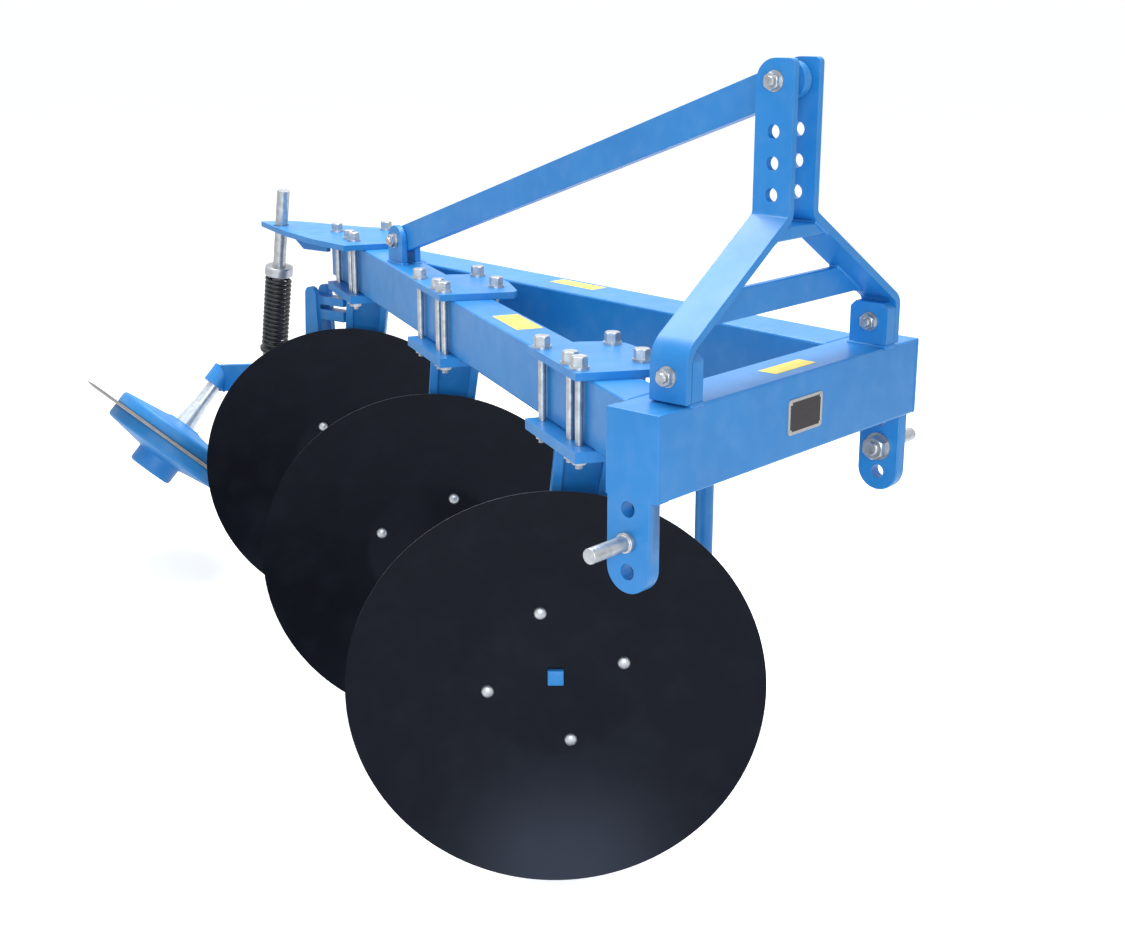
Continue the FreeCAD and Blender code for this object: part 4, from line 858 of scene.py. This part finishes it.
# the same sheet where the dye stops: pale and satin
bare_alloy, tree, place = empty_finish("brushed_aluminium_rim")
cloud = mottle(tree, place, 0.003, 3.0, 0.0, 1.0)
colour = put(tree, "ShaderNodeMix", {0: cloud, 6: linear("#A8A5A3"), 7: linear("#C3C0BD")},
             data_type="RGBA").outputs[2]
surface(tree, colour, mottle(tree, place, 0.002, 3.0, 0.35, 0.5), Metallic=0.6)

plate_low, plate_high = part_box("nameplate")
CORNER, RIM, DIP = 0.006, 0.004, 0.0006
width, tall = plate_high.x - plate_low.x, plate_high.z - plate_low.z


def plate_outline(inset):
    """The rounded outline of the plate, drawn in from its edge."""
    corner = max(CORNER - inset, 0.001)
    points = []
    for quarter, (cx, cz) in enumerate(((1, 1), (0, 1), (0, 0), (1, 0))):
        centre_x = inset + corner + cx * (width - 2 * (inset + corner))
        centre_z = inset + corner + cz * (tall - 2 * (inset + corner))
        for step in range(7):
            angle = math.radians(90 * quarter + 15 * step)
            points.append((plate_low.x + centre_x + corner * math.cos(angle),
                           plate_low.z + centre_z + corner * math.sin(angle)))
    return points


shape = bmesh.new()
loops = []
for inset, y in ((0.0, plate_high.y), (0.0, plate_low.y + 0.0004), (0.0004, plate_low.y),
                 (RIM, plate_low.y), (RIM + 0.0006, plate_low.y + DIP)):
    loops.append([shape.verts.new((x, y, z)) for x, z in plate_outline(inset)])
for one, two in zip(loops, loops[1:]):
    for index in range(len(one)):
        following = (index + 1) % len(one)
        shape.faces.new((one[index], one[following], two[following], two[index]))
shape.faces.new(loops[0])
shape.faces.new(loops[-1])
bmesh.ops.recalc_face_normals(shape, faces=shape.faces)
plate = piece_from("nameplate_piece", shape, bare_alloy)
plate.data.materials.append(anodised)
for face in plate.data.polygons:
    if face.area > 0.5 * width * tall and face.center.y < plate_high.y - 0.0002:
        face.material_index = 1
fit(plate, "frame", "nameplate_aluminium", "nameplate")
rivets = bmesh.new()
RIVET = [(-0.0005, 0), (-0.0005, 0.0023), (0.0, 0.0023), (0.0007, 0.0021), (0.0012, 0.0013),
         (0.0014, 0)]
for x in (plate_low.x + CORNER, plate_high.x - CORNER):
    for z in (plate_low.z + CORNER, plate_high.z - CORNER):
        lathe(RIVET, (x, plate_low.y, z), FORWARDS, 16, rivets)
fit(piece_from("nameplate_rivets", rivets, bare_alloy, 50), "frame", "nameplate_aluminium")

# ==== camera, floor and light ====
# A pale studio floor that runs on into a white backdrop, with large soft lights above and in
# front. The camera looks down along the plough from its front right corner.
corner_low, corner_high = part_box("front_beam")
BEYOND_TUBE = 0.020                          # most of the end plate's thickness
beam_corner = Vector((corner_low.x - BEYOND_TUBE, corner_low.y, corner_high.z))
EYE = Vector((-1.6369, -1.2703, 0.5317))     # from the cross beam's near top corner
HEADING = math.radians(48.665)               # from straight back towards the left side
PITCH = math.radians(16.155)                 # downwards
LOOK = Vector((math.sin(HEADING) * math.cos(PITCH), math.cos(HEADING) * math.cos(PITCH),
               -math.sin(PITCH)))
side = LOOK.cross(UP).normalized()
rise = side.cross(LOOK)
lens = bpy.data.cameras.new("camera")
lens.sensor_width, lens.lens = 36.0, 52.64
lens.clip_end = 500
camera = bpy.data.objects.new("camera", lens)
camera.matrix_world = Matrix((side, rise, -LOOK)).transposed().to_4x4()
camera.location = beam_corner + EYE
bpy.context.scene.collection.objects.link(camera)
bpy.context.scene.camera = camera
bpy.context.scene.view_settings.view_transform = "Standard"

# matt paper that keeps its shadows, lifted to white for the camera and for reflections
floor_finish, tree, _ = empty_finish("pale_studio_floor")
path = put(tree, "ShaderNodeLightPath").outputs
paper = put(tree, "ShaderNodeBsdfDiffuse", {"Color": (0.8, 0.8, 0.8, 1)}).outputs[0]
lift = put(tree, "ShaderNodeMath", {0: path["Is Glossy Ray"], 1: 0.2},
           operation="MULTIPLY").outputs[0]
lift = put(tree, "ShaderNodeMath", {0: path["Is Camera Ray"], 1: 0.62, 2: lift},
           operation="MULTIPLY_ADD").outputs[0]
glow = put(tree, "ShaderNodeEmission", {"Color": (1, 1, 1, 1), "Strength": lift}).outputs[0]
lit = put(tree, "ShaderNodeAddShader", {0: paper, 1: glow}).outputs[0]
put(tree, "ShaderNodeOutputMaterial", {"Surface": lit})
floor_shape = bmesh.new()
bmesh.ops.create_circle(floor_shape, cap_ends=True, segments=96, radius=200)
floor = piece_from("studio_floor", floor_shape, floor_finish)

# the same white behind, which lights the plough only as a pale even ambient
world = bpy.data.worlds.new("studio")
bpy.context.scene.world = world
world.use_nodes = True
world.node_tree.nodes.clear()
path = put(world.node_tree, "ShaderNodeLightPath").outputs
seen = put(world.node_tree, "ShaderNodeMath", {0: path["Is Camera Ray"], 1: path["Is Glossy Ray"]},
           operation="MAXIMUM").outputs[0]
ambient = put(world.node_tree, "ShaderNodeBackground",
              {"Color": linear("#EEF3FA"), "Strength": 0.55})
white = put(world.node_tree, "ShaderNodeBackground", {"Color": (1, 1, 1, 1), "Strength": 1.0})
both = put(world.node_tree, "ShaderNodeMixShader",
           {0: seen, 1: ambient.outputs[0], 2: white.outputs[0]})
put(world.node_tree, "ShaderNodeOutputWorld", {"Surface": both.outputs[0]})


def softbox(name, place, size, power, tint):
    """A square soft light that faces the middle of the plough."""
    light = bpy.data.lights.new(name, "AREA")
    light.shape, light.size, light.energy, light.color = "SQUARE", size, power, tint
    lamp = bpy.data.objects.new(name, light)
    lamp.location = place
    away = Vector(place) - Vector((0, 0, 0.6))
    lamp.rotation_euler = away.to_track_quat("Z", "Y").to_euler()
    bpy.context.scene.collection.objects.link(lamp)


softbox("overhead_softbox", (0.6, 0.4, 4.2), 3.6, 260, (1.0, 1.0, 1.0))
softbox("camera_side_softbox", (-3.6, -3.6, 1.7), 2.4, 115, (0.84, 0.92, 1.0))
